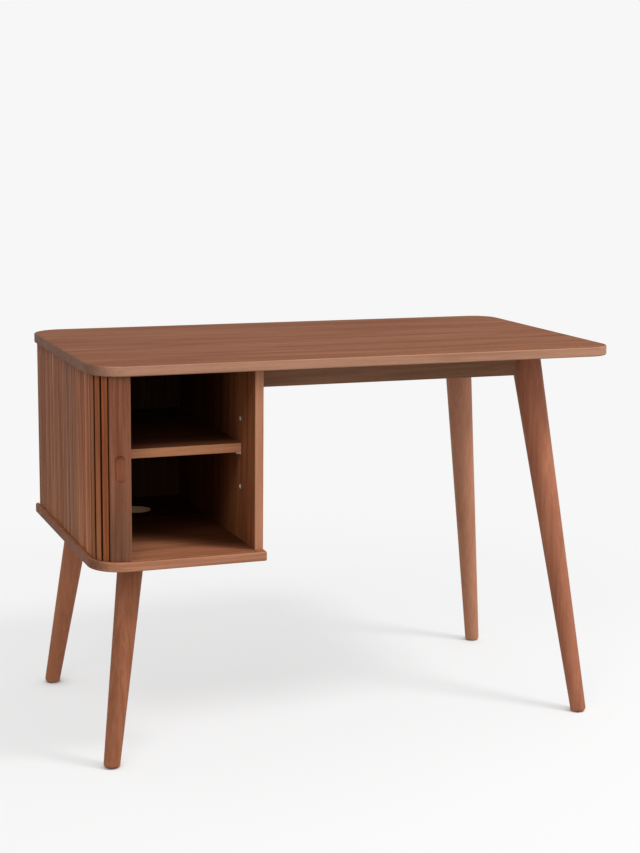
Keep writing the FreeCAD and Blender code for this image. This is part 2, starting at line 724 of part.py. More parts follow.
def lead_stile():
    """The stile that leads the slats, turned a little into the corner while the tambour is open."""
    body = new_body("stile_body")
    face = "stile_inset - groove_inset"
    rear_face = "%s + stile_thickness" % face
    tail = "peg_from_edge - stile_width"
    section = new_sketch(body, "stile_section", "slat_bottom")
    outline(section, [
        (tail, face, "stile_rounding"),
        ("peg_from_edge", face, "stile_rounding"),
        ("peg_from_edge", rear_face, 0),
        (tail + " + lap_width", rear_face, 0),
        (tail + " + lap_width", "%s + lap_thickness" % face, 0),
        (tail, "%s + lap_thickness" % face, 0),
    ])
    pad(body, "stile_pad", section, "slat_length")
    pull = new_sketch(body, "pull_outline", "groove_inset - stile_inset", "XZ_Plane")
    obround(pull, "peg_from_edge - stile_width / 2", "base_top + pull_rise", "pull_width", "pull_length")
    pocket(body, "finger_pull", pull, "pull_depth")
    level, low, high = measure(face), measure("slat_bottom"), measure("slat_bottom + slat_length")
    soften(body, "pull_rim", "pull_rounding", lambda point, edge: abs(edge.BoundBox.YMax - level) < 1e-6
           and low + 1 < edge.BoundBox.ZMin and edge.BoundBox.ZMax < high - 1)
    for name, height, upward in (("lower", "slat_bottom", True),
                                 ("upper", "slat_bottom + slat_length", False)):
        bore = new_sketch(body, name + "_bore_outline", height)
        circle(bore, 0, 0, "peg_diameter / 2 + running_gap")
        pocket(body, name + "_peg_bore", bore, "peg_seat + running_gap", upward)
    node("lead_stile", put(body, "peg_x", "peg_y", 0, (0, 0, -1), "stile_turn"))


def stile_pegs():
    """Pegs that run in the grooves of the two boards, and that the stile turns on."""
    reach = "(groove_depth - running_gap)"
    length = "%s + slat_end_gap + peg_seat" % reach
    lower = rod("lower_peg", "peg_x", "peg_y", "base_top - " + reach, "peg_diameter / 2", length)
    upper = rod("upper_peg", "peg_x", "peg_y", "underside + " + reach, "peg_diameter / 2", length, **DOWN)
    node("stile_pegs", several("stile_pegs", [lower, upper]))


# ---------------------------------------------------------------- legs and aprons

# A leg is turned this much longer than its axis, and then sawn level at the top.
OVERRUN = 1.05

# Name, kind, and what the leg stands under.
LEGS = [
    ("front_left", "short", "base_height"),
    ("back_left", "short", "base_height"),
    ("front_right", "long", "underside"),
    ("back_right", "long", "underside"),
]


def leg_blank(name, kind, top):
    """A turned, tapered leg that leans out to its rounded foot, sawn level at both ends."""
    foot_x, foot_y = name + "_foot_x", name + "_foot_y"
    lean_x = "(%s_top_x - %s)" % (name, foot_x)
    lean_y = "(%s_top_y - %s)" % (name, foot_y)
    cone = doc.addObject("Part::Cone", "leg_cone_" + name)
    bind(cone, Radius1="foot_radius",
         Radius2="foot_radius + %g * (%s_leg_radius - foot_radius)" % (OVERRUN, kind),
         Height="%g * sqrt(%s ^ 2 + %s ^ 2 + (%s) ^ 2)" % (OVERRUN, lean_x, lean_y, top))
    doc.recompute()
    rounding = measure("foot_rounding")
    turned = doc.addObject("Part::Fillet", "leg_turned_" + name)
    turned.Base = cone
    turned.Edges = [(number, rounding, rounding) for number, edge in enumerate(cone.Shape.Edges, start=1)
                    if edge.BoundBox.ZMax < 1e-6]
    put(turned, foot_x, foot_y, 0, (-measure(lean_y), measure(lean_x), 0),
        "atan(sqrt(%s ^ 2 + %s ^ 2) / (%s))" % (lean_x, lean_y, top))
    level = block("leg_level_" + name, "-desk_width", "-desk_depth", "glide_thickness",
                  "2 * desk_width", "2 * desk_depth", "%s - glide_thickness" % top)
    blank = doc.addObject("Part::Common", "leg_blank_" + name)
    blank.Base = turned
    blank.Tool = level
    return blank


def foot_glides():
    glides = []
    for name, _, _ in LEGS:
        glides.append(rod("glide_" + name, name + "_foot_x", name + "_foot_y", 0,
                          "glide_diameter / 2", "glide_thickness"))
    node("foot_glides", several("foot_glides", glides))


def short_leg_hardware():
    """A hanger bolt and a threaded insert over each left leg."""
    bolts, drills = [], []
    for name in ("front_left", "back_left"):
        x, y = name + "_top_x", name + "_top_y"
        start = "base_height + insert_length - bolt_end_gap - leg_bolt_length"
        bolts.append(stick("leg_bolt_" + name, x, y, start, "bolt_diameter / 2", "leg_bolt_length"))
        drills.append(stick("insert_" + name, x, y, "base_height", "insert_diameter / 2", "insert_length"))
    bolts = node("leg_bolts", several("leg_bolts", bolts))
    drills = several("insert_drills", drills)
    node("leg_inserts", cut("leg_inserts_bored", drills, [bolts]))
    return bolts, drills


def apron_blanks(legs):
    """The three aprons, with ends shaped to the panel and to the tapering legs."""
    length = "apron_x - panel_right"
    half = "apron_thickness / 2"
    front = block("front_apron_blank", "panel_right", "-apron_y - " + half, "apron_bottom",
                  length, "apron_thickness", "apron_height")
    back = block("back_apron_blank", "panel_right", "apron_y - " + half, "apron_bottom",
                 length, "apron_thickness", "apron_height")
    side = block("side_apron_blank", "apron_x - " + half, "-apron_y", "apron_bottom",
                 "apron_thickness", "2 * apron_y", "apron_height")
    return {
        "front_apron": cut("front_apron_coped", front, [legs["front_right"]]),
        "back_apron": cut("back_apron_coped", back, [legs["back_right"]]),
        "side_apron": cut("side_apron_coped", side, [legs["front_right"], legs["back_right"]]),
    }


def apron_dowels():
    """Two dowels in each joint of the aprons with the panel and the legs."""
    dowels = []
    into_leg = "long_leg_radius + apron_dowel_length - apron_dowel_depth"
    joints = []
    for name, y in (("front", "-apron_y"), ("back", "apron_y")):
        joints.append((name + "_panel", "panel_right - apron_dowel_depth", y, RIGHTWARD))
        joints.append((name + "_leg", "apron_x - (%s)" % into_leg, y, RIGHTWARD))
    joints.append(("side_front", "apron_x", "-apron_y + " + into_leg, FORWARD))
    joints.append(("side_back", "apron_x", "apron_y - (%s)" % into_leg, BACKWARD))
    for name, x, y, turn in joints:
        for side in (-1, 1):
            z = "apron_middle + %d * apron_dowel_spacing / 2" % side
            dowels.append(stick("dowel_%s_%d" % (name, side + 2), x, y, z,
                                "apron_dowel_diameter / 2", "apron_dowel_length", **turn))
    return node("apron_dowels", several("apron_dowels", dowels))


def top_screws():
    """Screws that hold the desktop, with the counterbores under them in the aprons."""
    screws, counterbores = [], []
    spots = []
    for share in (0.2, 0.5, 0.8):
        x = "panel_right + %g * (apron_x - panel_right)" % share
        spots.append((x, "-apron_y"))
        spots.append((x, "apron_y"))
    for share in (-0.4, 0.4):
        spots.append(("apron_x", "%g * apron_y" % share))
    z = "underside + top_screw_in_desktop - top_screw_length"
    for number, (x, y) in enumerate(spots, start=1):
        screws.append(wood_screw("top_screw_%d" % number, x, y, z, "top_screw_length"))
        counterbores.append(stick("counterbore_%d" % number, x, y, "apron_bottom",
                                  "screw_head / 2", "%s - apron_bottom" % z))
    node("top_screws", several("top_screws", screws))
    return nodes["top_screws"], several("counterbores", counterbores)


def corner_bracket(name, side, bolts):
    """Bent steel across the corner of two aprons."""
    x, y = "apron_x - apron_thickness / 2", "%d * (apron_y - apron_thickness / 2)" % side
    lead = "bracket_thickness * (sqrt(2) - 1)"
    end = "bracket_span + bracket_flange"
    bend = "bracket_span + " + lead
    outside = [(end, "0"), ("bracket_span", "0"), ("0", "bracket_span"), ("0", end)]
    inside = [("bracket_thickness", end), ("bracket_thickness", bend),
              (bend, "bracket_thickness"), (end, "bracket_thickness")]
    corners = [("%s - (%s)" % (x, dx), "%s - %d * (%s)" % (y, side, dy)) for dx, dy in outside + inside]
    body = new_body(name + "_body")
    sketch = new_sketch(body, name + "_section", "apron_middle - bracket_height / 2")
    polygon(sketch, corners)
    pad(body, name + "_pad", sketch, "bracket_height")
    node(name, cut(name + "_drilled", body, bolts))


def bracket_hardware():
    """Hanger bolts, nuts and screws of the corner brackets."""
    bolts, nuts, screws = [], [], []
    for name, side in (("front", -1), ("back", 1)):
        turn = {"axis": (side, -1, 0), "angle": 90}
        bolt_end = "bracket_bolt_start / sqrt(2)"
        nut_face = "(apron_thickness + bracket_span) / 2 + bracket_thickness / sqrt(2)"
        bolts.append(stick("bracket_bolt_" + name, "apron_x - " + bolt_end,
                           "%d * (apron_y - %s)" % (side, bolt_end), "apron_middle",
                           "bolt_diameter / 2", "bracket_bolt_length", **turn))
        nut = doc.addObject("Part::Prism", "bracket_nut_" + name)
        nut.Polygon = 6
        bind(nut, Circumradius="nut_width / 2 / cos(30)", Height="nut_thickness")
        put(nut, "apron_x - (%s)" % nut_face, "%d * (apron_y - (%s))" % (side, nut_face),
            "apron_middle", **turn)
        nuts.append(cut("bracket_nut_bored_" + name, nut, [bolts[-1]]))
        inner = "(apron_thickness / 2 + bracket_thickness)"
        along = "(apron_thickness / 2 + bracket_span + bracket_flange / 2)"
        into_apron = FORWARD if side < 0 else BACKWARD
        screws.append(small_screw("bracket_screw_%s_long" % name, "apron_x - " + along,
                                  "%d * (apron_y - %s)" % (side, inner), "apron_middle", into_apron))
        screws.append(small_screw("bracket_screw_%s_side" % name, "apron_x - " + inner,
                                  "%d * (apron_y - %s)" % (side, along), "apron_middle", RIGHTWARD))
    node("bracket_bolts", several("bracket_bolts", bolts))
    node("bracket_nuts", several("bracket_nuts", nuts))
    node("bracket_screws", several("bracket_screws", screws))
    return nodes["bracket_bolts"], nodes["bracket_screws"]


# ---------------------------------------------------------------- cabinet joinery

# Middle of each panel's thickness and its front edge.
PANEL_LINES = [
    ("left", "left_panel_outside + left_panel_thickness / 2", "left_panel_front"),
    ("right", "panel_left + panel_thickness / 2", "panel_front"),
]


def cabinet_dowels():
    """Dowels that join the panels to the base board and to the desktop."""
    dowels = []
    for name, x, front in PANEL_LINES:
        for end, y in (("front", front + " + dowel_edge_distance"),
                       ("back", "panel_back - dowel_edge_distance")):
            for level, z in (("low", "base_top - dowel_in_board"),
                             ("high", "underside + dowel_in_board - dowel_length")):
                dowels.append(stick("dowel_%s_%s_%s" % (name, end, level), x, y, z,
                                    "dowel_diameter / 2", "dowel_length"))
    return node("cabinet_dowels", several("cabinet_dowels", dowels))


def base_screws():
    """Screws from under the base board into the panels."""
    screws = []
    for name, x, front in PANEL_LINES:
        for end, y in (("front", front + " + 2 * dowel_edge_distance"),
                       ("back", "panel_back - 2 * dowel_edge_distance")):
            screws.append(wood_screw("base_screw_%s_%s" % (name, end), x, y, "base_height",
                                     "base_screw_length"))
    return node("base_screws", several("base_screws", screws))


def back_screws():
    """Screws of the back panel into the two side panels."""
    screws = []
    for name, x in (("left", "left_panel_inside - back_rebate_left / 2"),
                    ("right", "panel_left + back_rebate / 2")):
        for number in (1, 2, 3):
            z = "base_top + room_height * %d / 4" % number
            screws.append(small_screw("back_screw_%s_%d" % (name, number), x, "panel_back", z, FORWARD))
    return node("back_screws", several("back_screws", screws))


# ---------------------------------------------------------------- the whole desk

def make_desk():
    legs = {name: leg_blank(name, kind, top) for name, kind, top in LEGS}
    leg_bolts, insert_drills = short_leg_hardware()
    bracket_bolts, bracket_screws = bracket_hardware()
    dowels = apron_dowels()
    screws, counterbores = top_screws()
    panel_dowels = cabinet_dowels()
    floor_screws = base_screws()
    rear_screws = back_screws()
    pin_drills = pin_sleeves()

    for name, kind, _ in LEGS:
        fittings = [leg_bolts] if kind == "short" else [bracket_bolts, dowels]
        node("leg_" + name, cut("leg_drilled_" + name, legs[name], fittings))
    for name, blank in apron_blanks(legs).items():
        node(name, cut(name + "_drilled", blank, [dowels, screws, counterbores, bracket_screws]))
    corner_bracket("corner_bracket_front", -1, [bracket_bolts, bracket_screws])
    corner_bracket("corner_bracket_back", 1, [bracket_bolts, bracket_screws])
    foot_glides()

    desktop([panel_dowels, screws])
    base_board([panel_dowels, floor_screws, insert_drills])
    rebate = back_panel([rear_screws])
    panel("right_panel", "panel_left", "panel_front", "panel_thickness",
          [rebate, panel_dowels, floor_screws, rear_screws, pin_drills, dowels])
    panel("left_panel", "left_panel_outside", "left_panel_front", "left_panel_thickness",
          [rebate, panel_dowels, floor_screws, rear_screws, pin_drills])
    stop_post()
    shelf()
    shelf_pins()
    tambour()
    lead_stile()
    stile_pegs()


def write_parts():
    """Checks every object and writes one file for each sub-part."""
    doc.recompute()
    failed = [item.Name for item in doc.Objects if "Invalid" in item.State or "Error" in item.State]
    for name, item in nodes.items():
        if item.Shape.isNull() or not item.Shape.isValid() or not item.Shape.Solids:
            failed.append(name)
    if failed:
        raise RuntimeError("failed: " + ", ".join(failed))
    os.makedirs("parts", exist_ok=True)
    for name, item in nodes.items():
        item.Shape.exportStep("parts/%s.step" % name)
        print("%-24s %2d solids %9.1f cm3" % (name, len(item.Shape.Solids), item.Shape.Volume / 1000))


make_desk()
write_parts()
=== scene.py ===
# %% [markdown]
# # Dressing a tambour desk
# The desk arrives as plain solids in their true places: boards, legs, aprons, hardware and a
# shutter of slats that runs round a corner. Nothing here changes their size. Each solid gets a
# finish, and what repeats, the slats, screws and sleeves, is made again with finer shapes. Lengths
# in this file are in metres, X runs along the desk, Y from its front to its back and Z up from the
# floor.

# %% Load the desk
import json
from math import cos, pi, radians, sin

import bmesh
import bpy
from mathutils import Matrix, Vector


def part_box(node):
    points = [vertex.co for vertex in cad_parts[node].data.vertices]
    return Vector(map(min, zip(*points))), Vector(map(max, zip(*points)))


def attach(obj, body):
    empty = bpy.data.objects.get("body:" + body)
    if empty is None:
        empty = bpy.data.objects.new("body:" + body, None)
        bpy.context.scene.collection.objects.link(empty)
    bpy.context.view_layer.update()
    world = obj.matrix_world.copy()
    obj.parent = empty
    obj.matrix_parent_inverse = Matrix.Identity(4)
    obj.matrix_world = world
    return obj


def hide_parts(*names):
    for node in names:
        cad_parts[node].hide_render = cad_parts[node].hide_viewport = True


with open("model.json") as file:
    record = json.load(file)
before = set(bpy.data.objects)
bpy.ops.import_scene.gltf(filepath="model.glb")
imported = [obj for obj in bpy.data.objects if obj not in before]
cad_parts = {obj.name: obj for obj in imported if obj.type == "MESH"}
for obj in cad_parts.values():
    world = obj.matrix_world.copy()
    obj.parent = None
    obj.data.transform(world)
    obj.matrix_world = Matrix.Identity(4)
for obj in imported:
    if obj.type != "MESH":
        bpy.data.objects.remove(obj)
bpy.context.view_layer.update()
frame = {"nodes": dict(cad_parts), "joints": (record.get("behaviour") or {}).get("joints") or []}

# %% [markdown]
# ## The camera
# A long lens stands to the left of the desk and a little above it, so that the top, the slatted
# side and the open front all show. A constraint could aim it at the desk. Here it is turned about
# Z, tipped down and at last rolled by half a degree, because three angles, one after the other, are
# easy to read and to change.

# %% Camera
IMAGE_WIDTH = 640
FOCAL_PIXELS = 1721.1
CAMERA_PLACE = (-1.21495, -3.269, 1.1962)
CAMERA_TURN = -0.3592
CAMERA_TIP = -0.1752
CAMERA_ROLL = 0.0098

camera = bpy.data.objects.new("camera", bpy.data.cameras.new("camera"))
bpy.context.scene.collection.objects.link(camera)
camera.data.sensor_fit = "HORIZONTAL"
camera.data.sensor_width = 36
camera.data.lens = FOCAL_PIXELS / IMAGE_WIDTH * camera.data.sensor_width
camera.data.clip_end = 200
turn = Matrix.Rotation(CAMERA_TURN, 4, "Z") @ Matrix.Rotation(pi / 2 + CAMERA_TIP, 4, "X")
camera.matrix_world = Matrix.Translation(CAMERA_PLACE) @ turn @ Matrix.Rotation(CAMERA_ROLL, 4, "Z")
bpy.context.scene.camera = camera
bpy.context.scene.view_settings.view_transform = "Standard"
print("lens", round(camera.data.lens, 2), "mm")

# %% [markdown]
# ## Writing node trees in a few lines
# Materials, groups and geometry trees are all nodes and links. They could be clicked together in
# an editor, but a script can be read, changed and run again, and a few helpers keep each tree
# short. One gives an input a number or the output of another node, and one makes a node with its
# inputs fed. The others stand on these two: sums, noise, mixes of two colours, and a value spread
# from one range to another.

# %% Nodes and links
def feed(tree, socket, value):
    """Gives an input a number, a colour or the output of another node."""
    if isinstance(value, bpy.types.NodeSocket):
        tree.links.new(value, socket)
    else:
        socket.default_value = value


def add(tree, kind, values=(), **settings):
    """A node with its settings, and its inputs fed by number or by name."""
    node = tree.nodes.new(kind)
    for name, value in settings.items():
        setattr(node, name, value)
    for key, value in dict(values).items():
        feed(tree, node.inputs[key], value)
    return node


print("node maker ready")


# %% Sums and mixes
def math(tree, operation, *values):
    """The result of a sum on numbers."""
    return add(tree, "ShaderNodeMath", enumerate(values), operation=operation).outputs[0]


def vector_math(tree, operation, *values):
    """The result of a sum on vectors."""
    return add(tree, "ShaderNodeVectorMath", enumerate(values), operation=operation).outputs[0]


def dot(tree, first, second):
    """How far one vector reaches along another."""
    return add(tree, "ShaderNodeVectorMath", {0: first, 1: second}, operation="DOT_PRODUCT").outputs["Value"]


def length_of(tree, way):
    """The length of a vector."""
    return add(tree, "ShaderNodeVectorMath", {0: way}, operation="LENGTH").outputs["Value"]


def vector(tree, x=0.0, y=0.0, z=0.0):
    """A vector made of three numbers."""
    return add(tree, "ShaderNodeCombineXYZ", {0: x, 1: y, 2: z}).outputs[0]


def between(tree, value, low, high, to_low=0.0, to_high=1.0):
    """A value spread smoothly from one range to another."""
    node = add(tree, "ShaderNodeMapRange", interpolation_type="SMOOTHSTEP")
    for index, number in enumerate((value, low, high, to_low, to_high)):
        feed(tree, node.inputs[index], number)
    return node.outputs[0]


def noise(tree, place, scale, detail):
    """Soft spots from 0 to 1: how fine they are, and how many finer layers lie on them."""
    return add(tree, "ShaderNodeTexNoise", {"Vector": place, "Scale": scale, "Detail": detail}).outputs[0]


def blend(tree, share, first, second, mode="MIX"):
    """Two colours mixed by a share."""
    node = add(tree, "ShaderNodeMix", data_type="RGBA", blend_type=mode)
    for index, value in ((0, share), (6, first), (7, second)):
        feed(tree, node.inputs[index], value)
    return node.outputs[2]


def shaded(tree, share, colour, shade):
    """A colour that is multiplied by a shade as far as the share says."""
    return blend(tree, share, colour, (*shade, 1), "MULTIPLY")


print("sums and mixes ready")


# %% Groups
def new_group(name, kind, inputs, outputs):
    """An empty node group with its named sockets, and the two ends of it."""
    group = bpy.data.node_groups.new(name, kind)
    for label, socket_kind, value in inputs:
        socket = group.interface.new_socket(label, in_out="INPUT", socket_type=socket_kind)
        if value is not None:
            socket.default_value = value
    for label, socket_kind in outputs:
        group.interface.new_socket(label, in_out="OUTPUT", socket_type=socket_kind)
    return group, group.nodes.new("NodeGroupInput").outputs, group.nodes.new("NodeGroupOutput").inputs


def new_material(name):
    """A material with its tree and its shader."""
    material = bpy.data.materials.new(name)
    material.use_nodes = True
    return material, material.node_tree, material.node_tree.nodes["Principled BSDF"]


print("groups and materials ready")

# %% [markdown]
# ## The sky
# Most of the light is a broad white sky. It is brightest low at the front right and dimmer behind
# and overhead, so a round leg is shaded from one side to the other and the inside of the cabinet
# stays dark. An image of a studio could do this too, but a gradient has two ends that are easy to
# set. The camera and rays off polish see an even white instead. Light Path tells these rays apart,
# so the white of the picture puts no more light on the wood.

# %% Sky
PAPER = 0.93
BRIGHT = 1.06
DIM = 0.42
BRIGHT_SIDE = (0.64, -0.77, 0)
ZENITH = 0.58
SKY_REACH = 0.9

world = bpy.data.worlds.new("studio")
bpy.context.scene.world = world
world.use_nodes = True
sky = world.node_tree
sky.nodes.clear()
direction = add(sky, "ShaderNodeTexCoord").outputs["Generated"]
height = add(sky, "ShaderNodeSeparateXYZ", {0: direction}).outputs["Z"]
horizon = between(sky, dot(sky, direction, BRIGHT_SIDE), -SKY_REACH, SKY_REACH, DIM, BRIGHT)
level = add(sky, "ShaderNodeMapRange", {0: height, 1: 0.0, 2: SKY_REACH, 3: horizon, 4: ZENITH}).outputs[0]
rays = add(sky, "ShaderNodeLightPath").outputs
polish = math(sky, "MAXIMUM", rays["Is Glossy Ray"], rays["Is Transmission Ray"])
seen = math(sky, "MAXIMUM", rays["Is Camera Ray"], polish)
strength = add(sky, "ShaderNodeMix", {0: seen, 2: level, 3: PAPER}).outputs[0]
background = add(sky, "ShaderNodeBackground", {"Color": (1, 1, 1, 1), "Strength": strength})
add(sky, "ShaderNodeOutputWorld", {"Surface": background.outputs[0]})
print("sky from", DIM, "to", BRIGHT, "at the horizon and", ZENITH, "overhead")

# %% [markdown]
# ## Two softboxes
# A sky alone gives no shadow with a shape. A round area lamp high at the right throws the long
# shadows of the legs, and a wide, weak one at the left lifts the slatted side. Sun lamps would need
# only a direction, but area lamps are set out as in a real studio: the wider one is, the faster
# its shadows soften on their way from the foot.

# %% Softboxes
LAMPS_AIM = Vector((0, 0, 0.3))


def softbox(name, place, level, width):
    """A round lamp aimed at the desk. Level is the light that it gives a surface facing it there."""
    lamp = bpy.data.lights.new(name, "AREA")
    lamp.shape = "DISK"
    lamp.size = width
    aim = LAMPS_AIM - Vector(place)
    lamp.energy = level * pi * pi * aim.length_squared
    item = bpy.data.objects.new(name, lamp)
    bpy.context.scene.collection.objects.link(item)
    item.location = place
    item.rotation_euler = aim.to_track_quat("-Z", "Y").to_euler()


softbox("softbox_right", place=(1.41, -1.37, 3.2), level=0.49, width=0.75)
softbox("softbox_left", place=(-1.8, -2.6, 3.6), level=0.15, width=1.5)
print("two softboxes")

# %% [markdown]
# ## The floor
# The floor is one large plane, grey to the light that it sends back to the desk and white to the
# camera. A part of what the camera sees is a glow, which keeps the shadows pale and takes over
# with distance, so the floor meets the backdrop without a line. More light could hide that line
# too, but it would bleach the wood. The Ambient Occlusion node, turned towards the right softbox,
# takes the glow away behind each foot and seats it on the floor.

# %% Floor
FLOOR_REACH = 60
FLOOR_GREY = 0.5
FLOOR_GLOW = 0.65
FADE_START, FADE_END = 0.8, 1.9
TOWARDS_SOFTBOX = (0.60, -0.50, 0.63)
CONTACT_REACH = 0.12
CONTACT_FULL, CONTACT_NONE = 0.45, 0.98

corners = [(x * FLOOR_REACH, y * FLOOR_REACH, 0) for x, y in ((-1, -1), (1, -1), (1, 1), (-1, 1))]
floor_mesh = bpy.data.meshes.new("floor")
floor_mesh.from_pydata(corners, [], [(0, 1, 2, 3)])
floor = bpy.data.objects.new("floor", floor_mesh)
bpy.context.scene.collection.objects.link(floor)
print("floor", 2 * FLOOR_REACH, "m wide")

# %% Floor paper
paper, tree, shader = new_material("paper_floor")
rays = add(tree, "ShaderNodeLightPath").outputs
seen = math(tree, "MAXIMUM", rays["Is Camera Ray"], rays["Is Glossy Ray"])
shown = blend(tree, seen, (FLOOR_GREY, FLOOR_GREY, FLOOR_GREY, 1), (PAPER, PAPER, PAPER, 1))
feed(tree, shader.inputs["Base Color"], shown)
shader.inputs["Roughness"].default_value = 1
shader.inputs["Specular IOR Level"].default_value = 0
distance = length_of(tree, add(tree, "ShaderNodeTexCoord").outputs["Object"])
share = between(tree, distance, FADE_START, FADE_END, FLOOR_GLOW, 1.0)
near = add(tree, "ShaderNodeAmbientOcclusion", {"Normal": TOWARDS_SOFTBOX, "Distance": CONTACT_REACH},
           samples=16)
clear = between(tree, near.outputs["AO"], CONTACT_FULL, CONTACT_NONE)
share = math(tree, "MULTIPLY", share, clear)
glow = add(tree, "ShaderNodeEmission", {"Color": (PAPER, PAPER, PAPER, 1)})
lit = add(tree, "ShaderNodeMixShader", {0: math(tree, "MULTIPLY", seen, share)})
tree.links.new(shader.outputs[0], lit.inputs[1])
tree.links.new(glow.outputs[0], lit.inputs[2])
tree.links.new(lit.outputs[0], tree.nodes["Material Output"].inputs["Surface"])
floor_mesh.materials.append(paper)
print("floor glow", FLOOR_GLOW, "near the desk")

# %% [markdown]
# ## Walnut
# Stained walnut has three scales of pattern, all drawn out along the grain: broad bands from one
# growth season to the next, fine streaks inside them, and short dark pores. Each is a noise
# texture whose coordinates are squeezed along the grain. A slow warp bends them all together, as
# growth does. An image of veneer would show where it ends and repeats, and noise does neither. The
# group reads coordinates whose X runs along the grain, so each board only has to turn its own.

# %% Group: walnut figure
SHIFT_STEPS = (3.7, 1.3, 2.1)
WARP = (0, 0.03, 0.03)

figure, enter, leave = new_group("walnut_figure", "ShaderNodeTree", [
    ("Vector", "NodeSocketVector", None),
    ("Shift", "NodeSocketFloat", 0.0),
    ("Pale", "NodeSocketColor", (0.36, 0.165, 0.095, 1)),
    ("Dark", "NodeSocketColor", (0.21, 0.083, 0.045, 1)),
    ("Bands", "NodeSocketFloat", 1.0),
    ("Pores", "NodeSocketFloat", 1.0),
], [("Colour", "NodeSocketColor"), ("Roughness", "NodeSocketFloat"), ("Height", "NodeSocketFloat")])

shift = vector(figure, *(math(figure, "MULTIPLY", enter["Shift"], step) for step in SHIFT_STEPS))
place = vector_math(figure, "ADD", enter["Vector"], shift)


def drawn_out(start, along, across, detail):
    """Noise that is drawn out along X: how many spots in a metre along and across the grain."""
    squeezed = vector_math(figure, "MULTIPLY", start, (along, across, across))
    return add(figure, "ShaderNodeTexNoise", {"Vector": squeezed, "Scale": 1.0, "Detail": detail,
                                              "Roughness": 0.55}).outputs


wander = vector_math(figure, "SUBTRACT", drawn_out(place, 2.2, 7, 1)["Color"], (0.5, 0.5, 0.5))
warped = vector_math(figure, "ADD", place, vector_math(figure, "MULTIPLY", wander, WARP))
bands = between(figure, drawn_out(warped, 2.0, 34, 3)["Fac"], 0.32, 0.68)
streaks = between(figure, drawn_out(warped, 5.0, 190, 3)["Fac"], 0.3, 0.7)
pores = between(figure, drawn_out(warped, 55.0, 1500, 2)["Fac"], 0.62, 0.72)
broad = between(figure, drawn_out(place, 1.1, 5, 1)["Fac"], 0.3, 0.7)
print("walnut patterns:", len(figure.nodes), "nodes so far")

# %% Walnut figure: colour
BAND_SHARE, STREAK_SHARE, BROAD_SHARE = 0.45, 0.48, 0.27
BROAD_MIDDLE = 0.3
PORE_DEPTH = 0.45

fine = math(figure, "ADD", math(figure, "MULTIPLY", bands, BAND_SHARE),
            math(figure, "MULTIPLY", streaks, STREAK_SHARE))
slow = math(figure, "MULTIPLY", math(figure, "SUBTRACT", broad, BROAD_MIDDLE), BROAD_SHARE)
tone = math(figure, "ADD", fine, slow)
contrast = math(figure, "MULTIPLY", math(figure, "SUBTRACT", tone, 0.5), enter["Bands"])
tone = math(figure, "ADD", 0.5, contrast)
ground = blend(figure, tone, enter["Dark"], enter["Pale"])
pore_share = math(figure, "MULTIPLY", pores, enter["Pores"])
pore_tone = math(figure, "MULTIPLY", pore_share, PORE_DEPTH)
feed(figure, leave["Colour"], blend(figure, pore_tone, ground, enter["Dark"], "MULTIPLY"))
print("walnut colour:", len(figure.nodes), "nodes so far")

# %% Walnut figure: roughness and height
LACQUER, DARK_ROUGHER, PORE_ROUGHER = 0.50, 0.10, 0.15
STREAK_RELIEF, BAND_RELIEF = 0.35, 0.15

darkness = math(figure, "SUBTRACT", 1.0, tone)
rough = math(figure, "ADD", LACQUER, math(figure, "MULTIPLY", darkness, DARK_ROUGHER))
rough = math(figure, "ADD", rough, math(figure, "MULTIPLY", pore_share, PORE_ROUGHER))
feed(figure, leave["Roughness"], rough)
relief = math(figure, "ADD", math(figure, "MULTIPLY", streaks, STREAK_RELIEF),
              math(figure, "MULTIPLY", bands, BAND_RELIEF))
feed(figure, leave["Height"], math(figure, "SUBTRACT", relief, pore_share))
print("walnut figure:", len(figure.nodes), "nodes")

# %% [markdown]
# ## Edges lighter for rubbing and highlight
# Lacquered wood rubs lighter along its corners, and a rounded edge catches a thin highlight. This
# mask paints both: real rubbing and a painted highlight. The Bevel node gives the normal that a
# rounded corner would have. Its dot product with the true normal is 1 on a flat face and falls at
# an edge. A slow noise breaks that mask up, so the lighter edge isn't a drawn line. Painting it by
# hand would need a map for each board.

# %% Group: edge rubbing and highlight
# the mask lightens edges for rubbing and paints a highlight on them
RUB_AND_SHEEN_STARTS, RUB_AND_SHEEN_FULL = 0.995, 0.80
LEAST_RUB_AND_SHEEN = 0.25

worn_and_highlit, enter, leave = new_group("worn_and_highlit_edge", "ShaderNodeTree", [
    ("Vector", "NodeSocketVector", None),
    ("Reach", "NodeSocketFloat", 0.0012),
], [("Mask", "NodeSocketFloat")])
soft = add(worn_and_highlit, "ShaderNodeBevel", {"Radius": enter["Reach"]}, samples=4).outputs[0]
true = add(worn_and_highlit, "ShaderNodeNewGeometry").outputs["True Normal"]
edge = between(worn_and_highlit, dot(worn_and_highlit, soft, true), RUB_AND_SHEEN_STARTS, RUB_AND_SHEEN_FULL)
patches = between(worn_and_highlit, noise(worn_and_highlit, enter["Vector"], 45.0, 3.0), 0.35, 0.62, LEAST_RUB_AND_SHEEN, 1.0)
feed(worn_and_highlit, leave["Mask"], math(worn_and_highlit, "MULTIPLY", edge, patches))
print("worn edge:", len(worn_and_highlit.nodes), "nodes")

# %% [markdown]
# ## What a walnut finish is made of
# A veneered board shows its grain on the faces and a strip of paler, solid wood on its edges. Each
# could be a material on faces picked by hand. But the faces and the edges lie at known places, so a
# mask on the board's own coordinates tells them apart and needs no picking. The same kind of mask
# paints shade on faces that look into the dark cabinet, paints light and shade on a few other
# places, and shows the bare wood in the wall of a drilled hole.

# %% Masks, and the tint and painted gap shade of a slat
MASK_EDGE = 0.0003
WALL_STARTS, WALL_FULL = 0.0008, 0.0002
GAP_STARTS, GAP_FULL = 0.03, 0.22
# painted shade in the gaps between slats, deeper behind the face
GAP_PAINTED_SHADE = (0.22, 0.17, 0.14)


